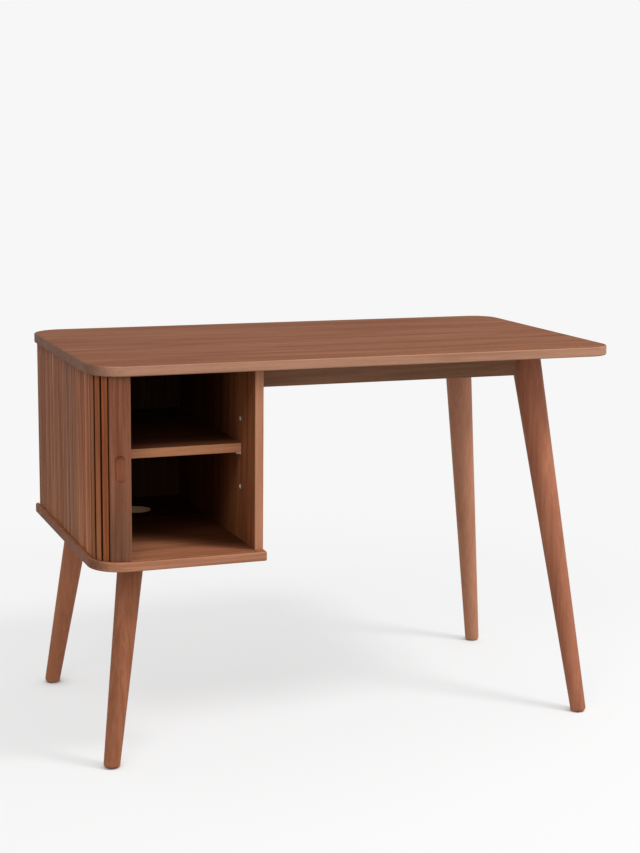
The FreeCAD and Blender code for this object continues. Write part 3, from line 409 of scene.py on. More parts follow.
def inside(tree, axes, box):
    """A mask of the box between two corners. None leaves an axis free."""
    mask = 1.0
    for axis, start, end in zip(axes, *box):
        if start is not None:
            mask = math(tree, "MULTIPLY", mask, between(tree, axis, start - MASK_EDGE, start + MASK_EDGE))
            mask = math(tree, "MULTIPLY", mask, between(tree, axis, end + MASK_EDGE, end - MASK_EDGE))
    return mask


def hole_wall(tree, place, centre_x, centre_y, radius):
    """A mask of the wall of an upright hole."""
    away = vector_math(tree, "SUBTRACT", place, (centre_x, centre_y, 0))
    distance = length_of(tree, vector_math(tree, "MULTIPLY", away, (1, 1, 0)))
    return between(tree, distance, radius + WALL_STARTS, radius + WALL_FULL)


def slat_tint_and_painted_gap_shade(tree, chance, colour, stops):
    """A tint for each slat from its random number, and a painted shade behind its face, in the gaps between
    slats.
    """
    ramp = add(tree, "ShaderNodeValToRGB", {0: chance})
    for position, shade in stops:
        stop = ramp.color_ramp.elements.new(position)
        stop.color = (*shade, 1)
    ramp.color_ramp.elements.remove(ramp.color_ramp.elements[-1])
    ramp.color_ramp.elements.remove(ramp.color_ramp.elements[0])
    colour = blend(tree, 1.0, colour, ramp.outputs[0], "MULTIPLY")
    depth = add(tree, "ShaderNodeAttribute", attribute_name="depth").outputs["Fac"]
    return shaded(tree, between(tree, depth, GAP_STARTS, GAP_FULL), colour, GAP_PAINTED_SHADE)


print("masks ready")

# %% Grain, edging, and edges lighter for rubbing and a painted highlight
EDGE_SHIFT = 0.5
EDGE_PALE = (0.516, 0.237, 0.138, 1)
EDGE_DARK = (0.361, 0.155, 0.084, 1)
END_GRAIN_SHADE = (0.52, 0.50, 0.50)
# edges lighter for rubbing and for a painted highlight
RUBBED_AND_HIGHLIT_SHADE = (1.5, 1.55, 1.6)


def grain_of(tree, along, shift, pale, dark, bands):
    """The walnut figure, placed in a material."""
    values = {"Vector": along, "Shift": shift, "Pale": pale, "Dark": dark, "Bands": bands}
    return add(tree, "ShaderNodeGroup", values, node_tree=figure).outputs


def graded_along(tree, place, axes, colour, toward, start, end, shade, box):
    """A colour that changes along a direction from a start to an end, inside a box, mostly as painted shade
    and light.
    """
    depth = between(tree, dot(tree, place, toward), start, end)
    return shaded(tree, math(tree, "MULTIPLY", depth, inside(tree, axes, box)), colour, shade)


def edging(tree, axes, along, shift, bands, end_grain):
    """The paler wood of an edge, darker over the stretch that shows its end grain."""
    colour = grain_of(tree, along, shift + EDGE_SHIFT, EDGE_PALE, EDGE_DARK, bands)["Colour"]
    if end_grain:
        colour = shaded(tree, between(tree, axes["X"], *end_grain), colour, END_GRAIN_SHADE)
    return colour


def rubbed_and_highlit(tree, place, colour, wear_and_sheen):
    """A colour that is lighter along its edges, for rubbing and for a painted highlight."""
    edge = add(tree, "ShaderNodeGroup", {"Vector": place}, node_tree=worn_and_highlit).outputs["Mask"]
    lighter = shaded(tree, 1.0, colour, RUBBED_AND_HIGHLIT_SHADE)
    return blend(tree, math(tree, "MULTIPLY", edge, wear_and_sheen), colour, lighter)


print("grain, edging and wear ready")

# %% Surface
RELIEF_DEPTH = 0.0002


def surface(tree, shader, colour, roughness, height, strength):
    """Gives a shader its colour, its roughness and a fine relief."""
    feed(tree, shader.inputs["Base Color"], colour)
    feed(tree, shader.inputs["Roughness"], roughness)
    bump = add(tree, "ShaderNodeBump", {"Height": height, "Strength": strength, "Distance": RELIEF_DEPTH})
    feed(tree, shader.inputs["Normal"], bump.outputs[0])


print("relief", RELIEF_DEPTH * 1000, "mm deep")

# %% Walnut
GRAIN_ALONG = {"X": (0, 1, 2), "Y": (1, 0, 2), "Z": (2, 1, 0)}
TINT_SPREAD = 9.0
RAW_WOOD = (0.24, 0.16, 0.085, 1)
GRAIN_RELIEF = 0.22
LACQUER_IOR = 1.25


def walnut(name, grain, shift, pale, dark, bands=1.0, wear_and_sheen=0.4, gloss=0.1, turned=None, tint=None,
           grading=None, lip=None, end_grain=None, marks=(), raw_hole=None):
    """A walnut finish. A box is two corners, and a shade is what the colour is multiplied by.

    Bands, wear_and_sheen and gloss: how strong the figure is, how much lighter the edges are made
    for rubbing and for a painted highlight, and how strongly the lacquer reflects.
    Turned: a centre and the angle about Z that the board stands at.
    Tint: stops of shades that a random number for each piece picks from.
    Grading: its direction, where it starts and ends along that, the shade past the end, and its box.
    Below it paints shade in the cabinet and light on the slats, and darkens the lead stile low down.
    Lip: the box whose inside is paler, solid wood.
    End grain: X where the lip starts to turn darker and where it is darkest.
    Marks: boxes, each with its shade; below they hold painted light and painted shade.
    Raw hole: X, Y and radius of a hole whose wall is bare wood.
    """
    material, tree, shader = new_material(name)
    place = add(tree, "ShaderNodeTexCoord").outputs["Object"]
    if turned:
        centre, angle = turned
        place = add(tree, "ShaderNodeVectorRotate", {"Vector": place, "Center": centre, "Angle": angle},
                    rotation_type="Z_AXIS").outputs[0]
    axes = add(tree, "ShaderNodeSeparateXYZ", {0: place}).outputs
    along = vector(tree, *(axes[axis] for axis in GRAIN_ALONG[grain]))
    if tint:
        chance = add(tree, "ShaderNodeAttribute", attribute_name="tint").outputs["Fac"]
        shift = math(tree, "MULTIPLY", chance, TINT_SPREAD)
    wood = grain_of(tree, along, shift, pale, dark, bands)
    colour = wood["Colour"]
    if tint:
        colour = slat_tint_and_painted_gap_shade(tree, chance, colour, tint)
    if grading:
        colour = graded_along(tree, place, axes, colour, *grading)
    if lip:
        paler = edging(tree, axes, along, shift, bands, end_grain)
        colour = blend(tree, inside(tree, axes, lip), colour, paler)
    for box, shade in marks:
        colour = shaded(tree, inside(tree, axes, box), colour, shade)
    if raw_hole:
        colour = blend(tree, hole_wall(tree, place, *raw_hole), colour, RAW_WOOD)
    colour = rubbed_and_highlit(tree, place, colour, wear_and_sheen)
    surface(tree, shader, colour, wood["Roughness"], wood["Height"], GRAIN_RELIEF)
    shader.inputs["IOR"].default_value = LACQUER_IOR
    shader.inputs["Specular IOR Level"].default_value = gloss
    return material


print("walnut ready")

# %% [markdown]
# ## Where faces and edges lie
# Most masks take their places from the boxes of the solids, so they stay on the boards when a size
# changes. The cable hole and the height of the finger pull show in no box, so they are written
# down. The lead stile stands at the angle that its hinge turns through, and its painted light and
# shade are placed from that hinge.

# %% Places on the boards
ANYWHERE = (None, None, None), (None, None, None)
CABLE_HOLE = (-0.344, 0.130, 0.030)
SKIN = 0.0006
LOWER_SKIN, UPPER_SKIN, END_SKIN = 0.0002, 0.0004, 0.0005
END_GRAIN_REACH = 0.040
AHEAD, BEYOND, ABOVE = 0.03, 0.002, 0.01


def edge_strip(node_name):
    """The box of a lying board's edges, between its two faces."""
    low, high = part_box(node_name)
    return (None, None, low.z + LOWER_SKIN), (None, None, high.z - UPPER_SKIN)


def front_strip(node_name):
    """The box of a board's front edge."""
    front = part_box(node_name)[0].y
    return (None, front - AHEAD, None), (None, front + SKIN, None)


left_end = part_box("desktop")[0].x
end_run = left_end + END_GRAIN_REACH, left_end + END_SKIN
floor_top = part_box("base_board")[1].z
left_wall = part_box("left_panel")[1].x
right_low, right_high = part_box("right_panel")
right_face = ((right_low.x - BEYOND, right_low.y + SKIN, right_low.z),
              (right_low.x + SKIN, right_high.y - BEYOND, right_high.z))
floor_face = (left_wall, None, floor_top - LOWER_SKIN), (right_low.x, None, floor_top + ABOVE)
shelf_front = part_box("shelf")[0].y
back_middle = sum(corner.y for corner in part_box("back_panel")) / 2
print("cabinet", round((right_low.x - left_wall) * 1000, 1), "mm wide inside")

# %% Places on the lead stile
PULL_LOW, PULL_HIGH = 0.545, 0.599

stile_hinge = next(joint for joint in frame["joints"] if joint["name"] == "stile_turn")
peg = Vector(stile_hinge["pos_m"])
stile_angle = radians(stile_hinge["range_deg"][1])


def pull_box(left, front, right, back):
    """A box over the height of the finger pull, measured from the stile's peg."""
    return (peg.x + left, peg.y + front, PULL_LOW), (peg.x + right, peg.y + back, PULL_HIGH)


# Painted light on the lit wall and the floor of the finger pull, and painted shade along the stile's left
# edge, beside the gap.
pull_wall = pull_box(-0.0070, -0.0040, -0.0040, 0.0030)
pull_floor = pull_box(-0.0216, 0.0010, -0.0071, 0.0030)
stile_edge = (peg.x - 0.0345, None, None), (peg.x - 0.0331, None, None)
stile_painted_light_and_shade = [(pull_wall, (1.9, 1.95, 2.0)), (pull_floor, (1.45, 1.35, 1.3)),
               (stile_edge, (0.22, 0.18, 0.15))]
print("stile stands at", stile_hinge["range_deg"][1], "degrees")

# %% [markdown]
# ## Walnut for each board
# One material on every board would run the same figure through them all, as if they were cut from
# one block. So each gets a shift of its own, and a pale and a dark tone that its figure runs
# between. Inside the cabinet a painted shade deepens with depth. On its floor a painted shadow lies
# past a slanted line, where the right panel's shadow would end. A few boxes paint light and shade
# on single places. The legs get more gloss than the boards.

# %% Painted light and shade along a direction
INWARD, UPWARD, SLANTED = (0, 1, 0), (0, 0, 1), (0.933, 1, 0)

# Painted shadow on the cabinet's floor past a slanted line, and painted shade deeper into the right panel,
# the back panel and the shelf. The lead stile gets darker towards the bottom, and painted light from the
# floor lifts the lower part of the slats.
# direction, where the shade starts along it, where it is full, the shade, the box it keeps to
floor_painted_shadow = SLANTED, -0.535, -0.405, (0.16, 0.10, 0.06), floor_face
panel_painted_shade = INWARD, right_low.y + 0.055, right_low.y + 0.27, (0.38, 0.30, 0.27), right_face
back_painted_shade = INWARD, back_middle + 0.002, back_middle, (0.28, 0.30, 0.28), ANYWHERE
shelf_painted_shade = INWARD, shelf_front + 0.002, shelf_front + 0.072, (0.40, 0.35, 0.30), ANYWHERE
stile_darker_low = UPWARD, 0.60, 0.44, (0.70, 0.76, 0.80), ANYWHERE
slat_painted_floor_light = UPWARD, 0.62, 0.42, (1.10, 1.14, 1.08), ANYWHERE
print("the shadow on the floor slants", SLANTED[0], "inward for each step to the left")

# %% Tones
TOP_PALE = (0.246, 0.087, 0.034, 1)
TOP_DARK = (0.141, 0.043, 0.015, 1)
PALE = (0.302, 0.121, 0.059, 1)
DARK = (0.176, 0.063, 0.029, 1)
# The cabinet's floor is paler than the other boards: painted light, for the light that falls in at its front.
# Its painted shadow darkens the rest.
CABINET_FLOOR_LIT_PALE = (0.414, 0.167, 0.084, 1)
CABINET_FLOOR_LIT_DARK = (0.273, 0.101, 0.047, 1)
STILE_PALE = (0.335, 0.135, 0.074, 1)
STILE_DARK = (0.195, 0.070, 0.036, 1)
APRON_PALE = (0.325, 0.168, 0.100, 1)
APRON_DARK = (0.216, 0.106, 0.060, 1)
# Painted light: a cooler tint on the desktop's edges, a lighter, warmer inner face of the right panel and a
# lighter front edge on the shelf.
TOP_EDGE_PAINTED_LIGHT = (0.95, 1.09, 1.22)
PANEL_FACE_PAINTED_LIGHT = (1.32, 1.22, 1.0)
SHELF_EDGE_PAINTED_LIGHT = (1.28, 1.26, 1.12)
print("tones ready")

# %% Boards
finishes = {
    "desktop": walnut(
        "walnut_top", "X", 0.0, TOP_PALE, TOP_DARK, wear_and_sheen=0.6, lip=edge_strip("desktop"), end_grain=end_run,
        marks=[(edge_strip("desktop"), TOP_EDGE_PAINTED_LIGHT)]),
    "base_board": walnut(
        "walnut_base", "X", 1.0, CABINET_FLOOR_LIT_PALE, CABINET_FLOOR_LIT_DARK, bands=1.3, wear_and_sheen=0.6, grading=floor_painted_shadow,
        lip=edge_strip("base_board"), end_grain=end_run, raw_hole=CABLE_HOLE),
    "right_panel": walnut(
        "walnut_right_panel", "Z", 2.0, PALE, DARK, bands=1.3, grading=panel_painted_shade,
        lip=front_strip("right_panel"), marks=[(right_face, PANEL_FACE_PAINTED_LIGHT)]),
    "left_panel": walnut("walnut_left_panel", "Z", 3.0, PALE, DARK),
    "back_panel": walnut("walnut_back_panel", "Z", 4.0, PALE, DARK, grading=back_painted_shade),
    "stop_post": walnut("walnut_post", "Z", 5.0, PALE, DARK),
    "shelf": walnut(
        "walnut_shelf", "X", 6.0, PALE, DARK, grading=shelf_painted_shade, lip=front_strip("shelf"),
        marks=[(front_strip("shelf"), SHELF_EDGE_PAINTED_LIGHT)]),
    "lead_stile": walnut(
        "walnut_stile", "Z", 7.0, STILE_PALE, STILE_DARK, bands=1.3, turned=(peg, stile_angle),
        grading=stile_darker_low, marks=stile_painted_light_and_shade),
    "front_apron": walnut("walnut_front_apron", "X", 8.0, APRON_PALE, APRON_DARK),
    "back_apron": walnut("walnut_back_apron", "X", 9.0, APRON_PALE, APRON_DARK),
    "side_apron": walnut("walnut_side_apron", "Y", 10.0, APRON_PALE, APRON_DARK),
}
print(len(finishes), "finishes for boards")

# %% Legs
# The tones differ from leg to leg. The back right leg's much paler tones are painted light, for light that
# falls on it from the right.
# pale tone, dark tone, how strong the bands are
LEG_TONES_WITH_PAINTED_LIGHT = {
    "front_left": ((0.43, 0.166, 0.083, 1), (0.26, 0.089, 0.041, 1), 0.9),
    "back_left": ((0.52, 0.206, 0.108, 1), (0.34, 0.121, 0.059, 1), 0.7),
    "front_right": ((0.48, 0.186, 0.102, 1), (0.30, 0.105, 0.055, 1), 0.9),
    "back_right": ((0.62, 0.290, 0.174, 1), (0.44, 0.186, 0.103, 1), 0.7),
}
LEG_SHIFT = 11.0
LEG_GLOSS = 0.4

for number, (corner, (pale, dark, bands)) in enumerate(LEG_TONES_WITH_PAINTED_LIGHT.items()):
    finishes["leg_" + corner] = walnut("walnut_leg_" + corner, "Z", LEG_SHIFT + number, pale, dark,
                                       bands=bands, gloss=LEG_GLOSS)
print(len(LEG_TONES_WITH_PAINTED_LIGHT), "finishes for legs")

# %% [markdown]
# ## Small parts
# Metal, felt, nylon, dowel wood and canvas have plainer finishes. A faint noise still varies each,
# because nothing real has one even colour. Canvas and felt share a group that crosses two waves
# into a weave, which costs far less than modelled threads.

# %% Group: cloth weave
THREAD_SHARE, FUZZ_SHARE = 0.6, 0.4

weave, enter, leave = new_group("cloth_weave", "ShaderNodeTree", [
    ("Vector", "NodeSocketVector", None),
    ("Threads", "NodeSocketFloat", 900.0),
], [("Mask", "NodeSocketFloat"), ("Height", "NodeSocketFloat")])
wave = {"Vector": enter["Vector"], "Scale": enter["Threads"], "Distortion": 0.4}
over, under = (add(weave, "ShaderNodeTexWave", wave, bands_direction=way).outputs["Fac"] for way in "XZ")
threads = math(weave, "MAXIMUM", over, under)
feed(weave, leave["Height"], threads)
fuzz = noise(weave, enter["Vector"], 220.0, 3.0)
woven = math(weave, "ADD", math(weave, "MULTIPLY", threads, THREAD_SHARE),
             math(weave, "MULTIPLY", fuzz, FUZZ_SHARE))
feed(weave, leave["Mask"], woven)
print("cloth weave:", len(weave.nodes), "nodes")

# %% Plain finishes
ROUGHNESS_RANGE = 0.06
FINE_RELIEF = 0.3


def plain(name, dark, pale, roughness, metallic=0.0, cloth=0.0, spots=60.0, painted_depth_shade=None):
    """A finish that varies between two shades, woven where it is cloth.

    Painted_depth_shade: Y where a painted shade starts, Y where it is darkest, and the shade there.
    """
    material, tree, shader = new_material(name)
    place = add(tree, "ShaderNodeTexCoord").outputs["Object"]
    if cloth:
        pattern = add(tree, "ShaderNodeGroup", {"Vector": place, "Threads": cloth}, node_tree=weave).outputs
        mask, height = pattern["Mask"], pattern["Height"]
    else:
        mask = noise(tree, place, spots, 4.0)
        height = mask
    colour = blend(tree, mask, (*dark, 1), (*pale, 1))
    if painted_depth_shade:
        start, end, shade = painted_depth_shade
        colour = shaded(tree, between(tree, dot(tree, place, INWARD), start, end), colour, shade)
    rough = between(tree, mask, 0.0, 1.0, roughness - ROUGHNESS_RANGE, roughness + ROUGHNESS_RANGE)
    surface(tree, shader, colour, rough, height, FINE_RELIEF)
    shader.inputs["Metallic"].default_value = metallic
    return material


print("plain finishes ready")

# %% Finishes of the small parts
steel = plain("zinc_steel", (0.42, 0.42, 0.40), (0.62, 0.62, 0.60), 0.38, metallic=1.0, spots=400)
# the nickel gets a painted shade deeper in the cabinet, on the rear sleeves
nickel = plain("nickel", (0.92, 0.88, 0.80), (0.98, 0.95, 0.88), 0.25, metallic=0.2, spots=400,
               painted_depth_shade=(-0.12, 0.0, (0.10, 0.08, 0.06)))
brass = plain("brass_insert", (0.55, 0.40, 0.16), (0.74, 0.56, 0.26), 0.30, metallic=1.0, spots=400)
beech = plain("beech", (0.52, 0.36, 0.22), (0.64, 0.47, 0.31), 0.6, spots=120)
felt = plain("felt", (0.06, 0.045, 0.035), (0.11, 0.085, 0.07), 0.95, cloth=1500)
nylon = plain("nylon", (0.55, 0.54, 0.50), (0.68, 0.67, 0.63), 0.45, spots=200)
# The canvas is near-black, dark enough to paint the shade in the gaps between the slats, where it shows.
canvas = plain("canvas", (0.012, 0.009, 0.007), (0.03, 0.022, 0.017), 0.9, cloth=900)

finishes.update(shelf_pins=nickel, leg_inserts=brass, apron_dowels=beech, cabinet_dowels=beech,
                foot_glides=felt, stile_pegs=nylon)
for name in ("leg_bolts", "corner_bracket_front", "corner_bracket_back", "bracket_bolts", "bracket_nuts"):
    finishes[name] = steel
for name in frame["nodes"]:
    if name.startswith("canvas_"):
        finishes[name] = canvas
print(len(finishes), "solids with a finish")

# %% [markdown]
# ## The slats
# A tambour is a row of equal slats. An Array modifier could repeat one, but it gives its copies no
# number of their own, so Geometry Nodes make them: a section with four rounded corners is drawn out
# to the slat's length, placed at every point of a line and given a random number that its material
# turns into a shade and a figure of its own. Each moving part of the shutter is one row: single
# slats near the corner, and two longer rows that stay straight. The rear row also has tongues,
# which run in the grooves.

# %% Slat material
SLAT_TINTS = [(0.02, (0.68, 0.72, 0.78)), (0.20, (1.12, 1.04, 0.98)), (0.38, (0.84, 0.94, 1.02)),
              (0.55, (1.12, 0.95, 0.88)), (0.72, (0.78, 0.83, 0.85)), (0.98, (1.34, 1.32, 1.28))]
SLAT_PALE = (0.40, 0.164, 0.088, 1)
SLAT_DARK = (0.21, 0.076, 0.037, 1)
NEAR_CORNER = (-0.60, -0.40, 0.0), (-0.45, -0.16, 1.0)
# Painted reflection: near the corner the slats are warmer and lighter, for the smaller reflection of the pale
# sky there.
NEAR_CORNER_PAINTED_REFLECTION = (1.14, 1.02, 0.88)

# the slats carry painted light from the floor on their lower part, a painted reflection near the corner and
# painted shade in their gaps
slat_wood = walnut("walnut_slats", "Z", 0.0, SLAT_PALE, SLAT_DARK, tint=SLAT_TINTS, wear_and_sheen=0.7,
                   grading=slat_painted_floor_light, marks=[(NEAR_CORNER, NEAR_CORNER_PAINTED_REFLECTION)])
print(len(SLAT_TINTS), "slat shades")

# %% Tree: slat row
row, enter, leave = new_group("slat_row", "GeometryNodeTree", [
    ("Count", "NodeSocketInt", 1),
    ("Pitch", "NodeSocketFloat", 0.015),
    ("Width", "NodeSocketFloat", 0.0124),
    ("Thickness", "NodeSocketFloat", 0.006),
    ("Face rounding", "NodeSocketFloat", 0.0012),
    ("Back rounding", "NodeSocketFloat", 0.002),
    ("Length", "NodeSocketFloat", 0.3418),
    ("Bottom", "NodeSocketFloat", 0.4006),
    ("Back gap", "NodeSocketFloat", 0.0005),
    ("Tongue length", "NodeSocketFloat", 0.0),
    ("Tongue thickness", "NodeSocketFloat", 0.0052),
    ("Tongue middle", "NodeSocketFloat", -0.0035),
    ("Start", "NodeSocketVector", (0, 0, 0)),
    ("Turn", "NodeSocketFloat", 0.0),
    ("Seed", "NodeSocketInt", 0),
    ("Material", "NodeSocketMaterial", None),
], [("Geometry", "NodeSocketGeometry")])

half_depth = math(row, "MULTIPLY", enter["Thickness"], 0.5)
section_y = math(row, "SUBTRACT", math(row, "MULTIPLY", enter["Back gap"], -1.0), half_depth)
section = add(row, "GeometryNodeCurvePrimitiveQuadrilateral", {"Width": enter["Width"],
                                                               "Height": enter["Thickness"]})
position = add(row, "GeometryNodeInputPosition").outputs[0]
corner_y = add(row, "ShaderNodeSeparateXYZ", {0: position}).outputs["Y"]
at_back = math(row, "GREATER_THAN", corner_y, 0.0)
rounding = add(row, "ShaderNodeMix", {0: at_back, 2: enter["Face rounding"], 3: enter["Back rounding"]})
rounded = add(row, "GeometryNodeFilletCurve", {"Curve": section.outputs[0], "Count": 4,
                                               "Radius": rounding.outputs[0]}, mode="POLY")
path = add(row, "GeometryNodeCurvePrimitiveLine", {"Start": (0, 0, 0), "End": vector(row, z=enter["Length"])})
stick = add(row, "GeometryNodeCurveToMesh", {"Curve": path.outputs[0], "Profile Curve": rounded.outputs[0],
                                             "Fill Caps": True})
print("slat section:", len(row.nodes), "nodes so far")

# %% Slat row: the tongues
tongue_rise = math(row, "ADD", enter["Length"], math(row, "MULTIPLY", enter["Tongue length"], 2.0))
tongue_block = add(row, "GeometryNodeMeshCube", {
    "Size": vector(row, enter["Width"], enter["Tongue thickness"], tongue_rise)})
tongue_y = math(row, "SUBTRACT", enter["Tongue middle"], section_y)
tongue = add(row, "GeometryNodeTransform", {
    "Geometry": tongue_block.outputs[0],
    "Translation": vector(row, y=tongue_y, z=math(row, "MULTIPLY", enter["Length"], 0.5))})
has_tongue = add(row, "FunctionNodeCompare", {0: enter["Tongue length"], 1: 0.0}, operation="GREATER_THAN")
extra = add(row, "GeometryNodeSwitch", {"Switch": has_tongue.outputs[0], "True": tongue.outputs[0]},
            input_type="GEOMETRY")
joined = add(row, "GeometryNodeJoinGeometry")
row.links.new(stick.outputs[0], joined.inputs[0])
row.links.new(extra.outputs[0], joined.inputs[0])
# depth behind the face, which the slats' material uses to paint shade in the gaps
behind = math(row, "DIVIDE", math(row, "ADD", corner_y, half_depth), enter["Thickness"])
slat = add(row, "GeometryNodeStoreNamedAttribute", {"Geometry": joined.outputs[0], "Name": "depth",
                                                    "Value": behind}, data_type="FLOAT", domain="POINT")
print("with tongues:", len(row.nodes), "nodes so far")


# %% Slat row: places and shades
def end_tree(tree, enter, leave, copies):
    """Ends a tree: its copies are made real and get the piece's material."""
    real = add(tree, "GeometryNodeRealizeInstances", {0: copies.outputs[0]})
    finished = add(tree, "GeometryNodeSetMaterial", {0: real.outputs[0], "Material": enter["Material"]})
    feed(tree, leave["Geometry"], finished.outputs[0])


first = vector(row, y=section_y, z=enter["Bottom"])
backwards = vector(row, math(row, "MULTIPLY", enter["Pitch"], -1.0))
line = add(row, "GeometryNodeMeshLine", {"Count": enter["Count"], "Start Location": first,
                                         "Offset": backwards}, mode="OFFSET")
placed = add(row, "GeometryNodeInstanceOnPoints", {"Points": line.outputs[0], "Instance": slat.outputs[0]})
chance = add(row, "FunctionNodeRandomValue", {"Seed": enter["Seed"]}, data_type="FLOAT").outputs[1]
marked = add(row, "GeometryNodeStoreNamedAttribute", {"Geometry": placed.outputs[0], "Name": "tint",
                                                      "Value": chance}, data_type="FLOAT", domain="INSTANCE")
turned = add(row, "GeometryNodeTransform", {"Geometry": marked.outputs[0], "Translation": enter["Start"],
                                            "Rotation": vector(row, z=enter["Turn"])})
end_tree(row, enter, leave, turned)
print("slat row tree:", len(row.nodes), "nodes")

# %% [markdown]
# ## From a tree to a plain mesh
# A modifier runs a tree on a small seed mesh. Its inputs are set by their identifiers, before the
# object is first evaluated. The evaluated result is then copied to a mesh of its own, so the piece
# that rides on the desk has no modifier left.

# %% Grow a piece
SHARP_ANGLE = radians(40)


def grown(name, tree, material, spots=(), **values):
    """A mesh object grown by a geometry tree, with the named inputs set, and no modifier left.

    Spots are the points that the tree starts from, each with the direction it aims in.
    """
    seed_mesh = bpy.data.meshes.new(name + "_seed")
    seed_mesh.from_pydata([place for place, aim in spots], [], [])
    if spots:
        aims = seed_mesh.attributes.new("aim", "FLOAT_VECTOR", "POINT")
        aims.data.foreach_set("vector", [number for place, aim in spots for number in aim])
    holder = bpy.data.objects.new(name + "_holder", seed_mesh)
    bpy.context.scene.collection.objects.link(holder)
    modifier = holder.modifiers.new("grow", "NODES")
    modifier.node_group = tree
    sockets = {item.name: item.identifier for item in tree.interface.items_tree if item.in_out == "INPUT"}
    values["Material"] = material
    for label, value in values.items():
        modifier[sockets[label.replace("_", " ")]] = value
    holder.data.update()
    graph = bpy.context.evaluated_depsgraph_get()
    mesh = bpy.data.meshes.new_from_object(holder.evaluated_get(graph))
    mesh.name = name
    bpy.data.objects.remove(holder)
    piece = bpy.data.objects.new(name, mesh)
    bpy.context.scene.collection.objects.link(piece)
    mesh.shade_smooth()
    mesh.set_sharp_from_angle(angle=SHARP_ANGLE)
    return piece


print("ready to grow")

# %% [markdown]
# ## Where each slat stands
# The canvas runs straight up the left side, round the corner and along the front. A slat's place
# on it follows from its run past the start of the corner: before the corner it stands square to
# the side, and on the corner it turns with the radius of the canvas. Points spaced along a curve
# would do too, but an arc is simple enough for a formula.

# %% Places of the slats
PITCH = 0.015
FIRST_RUN = 0.0414
CANVAS_RADIUS = 0.0505
CORNER = Vector((-0.465, -0.227, 0))
TONGUE_LENGTH = 0.0045


def on_canvas(number):
    """Start and turn of the slat that is so many slats behind the first."""
    run = FIRST_RUN - number * PITCH
    if run <= 0:
        return (CORNER.x - CANVAS_RADIUS, CORNER.y - run, 0), -pi / 2
    angle = run / CANVAS_RADIUS
    return (CORNER.x - CANVAS_RADIUS * cos(angle), CORNER.y - CANVAS_RADIUS * sin(angle), 0), angle - pi / 2


# node, body, number of its first slat, how many slats, how far its tongues reach
singles = (0, 1, 2, 14, 15, 16, 17, 18)
rows = [("slat_%02d" % (number + 1), "shutter_%02d" % (number + 1), number, 1, 0.0) for number in singles]
rows += [("slats_middle", "shutter_middle", 3, 11, 0.0),
         ("slats_rear", "shutter_rear", 19, 16, TONGUE_LENGTH)]
print(sum(entry[3] for entry in rows), "slats in", len(rows), "rows")

# %% Rows of slats
FIRST_SEED = 5

for node_name, body, number, count, tongue_length in rows:
    start, angle = on_canvas(number)
    piece = grown("soft_" + node_name, row, slat_wood, Count=count, Pitch=PITCH, Start=start, Turn=angle,
                  Seed=FIRST_SEED + number, Tongue_length=tongue_length)
    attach(piece, body)
    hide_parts(node_name)
    print(piece.name, count, "slats,", len(piece.data.polygons), "faces")

# %% [markdown]
# ## Screws and sleeves
# A screw is a round head with a cross cut into it and a tapering shank. A sleeve is a thin tube
# with a domed rim. Threads would be out of sight in the wood, so the shank stays smooth. Each is
# one small shape placed on a list of points. Every point carries the direction that its screw is
# driven in, and a random twist turns each cross its own way.

# %% Helpers for round parts
def cylinder(tree, sides, radius, depth, low):
    """A closed cylinder along Z that starts at a height."""
    body = add(tree, "GeometryNodeMeshCylinder", {"Vertices": sides, "Radius": radius, "Depth": depth})
    middle = math(tree, "ADD", low, math(tree, "MULTIPLY", depth, 0.5))
    return moved(tree, body.outputs[0], vector(tree, z=middle))


def moved(tree, shape, way):
    """A shape moved by a vector."""
    return add(tree, "GeometryNodeTransform", {"Geometry": shape, "Translation": way}).outputs[0]


def less(tree, base, *tools):
    """A mesh less others."""
    node = add(tree, "GeometryNodeMeshBoolean", {"Mesh 1": base}, operation="DIFFERENCE")
    for tool in tools:
        tree.links.new(tool, node.inputs["Mesh 2"])
    return node.outputs[0]


def on_spots(tree, enter, leave, shapes):
    """Puts a shape on every point, aimed along the point's direction and twisted at random."""
    joined = add(tree, "GeometryNodeJoinGeometry")
    for shape in shapes:
        tree.links.new(shape, joined.inputs[0])
    twist = add(tree, "FunctionNodeRandomValue", {"Min": 0.0, "Max": 2 * pi, "Seed": enter["Seed"]},
                data_type="FLOAT").outputs[1]
    aim = add(tree, "GeometryNodeInputNamedAttribute", {"Name": "aim"}, data_type="FLOAT_VECTOR").outputs[0]
    turn = add(tree, "FunctionNodeAlignRotationToVector", {"Rotation": vector(tree, z=twist), "Vector": aim},
               axis="Z").outputs[0]
    spread = {"Points": enter["Spots"], "Instance": joined.outputs[0], "Rotation": turn}
    end_tree(tree, enter, leave, add(tree, "GeometryNodeInstanceOnPoints", spread))


common = [
    ("Spots", "NodeSocketGeometry", None),
    ("Seed", "NodeSocketInt", 4),
    ("Material", "NodeSocketMaterial", None),
]
print("round parts ready")

# %% Tree: screws
HEAD_SIDES, SHANK_SIDES = 24, 10
CROSS_LENGTH, CROSS_WIDTH, TIP = 1.1, 0.24, 0.45

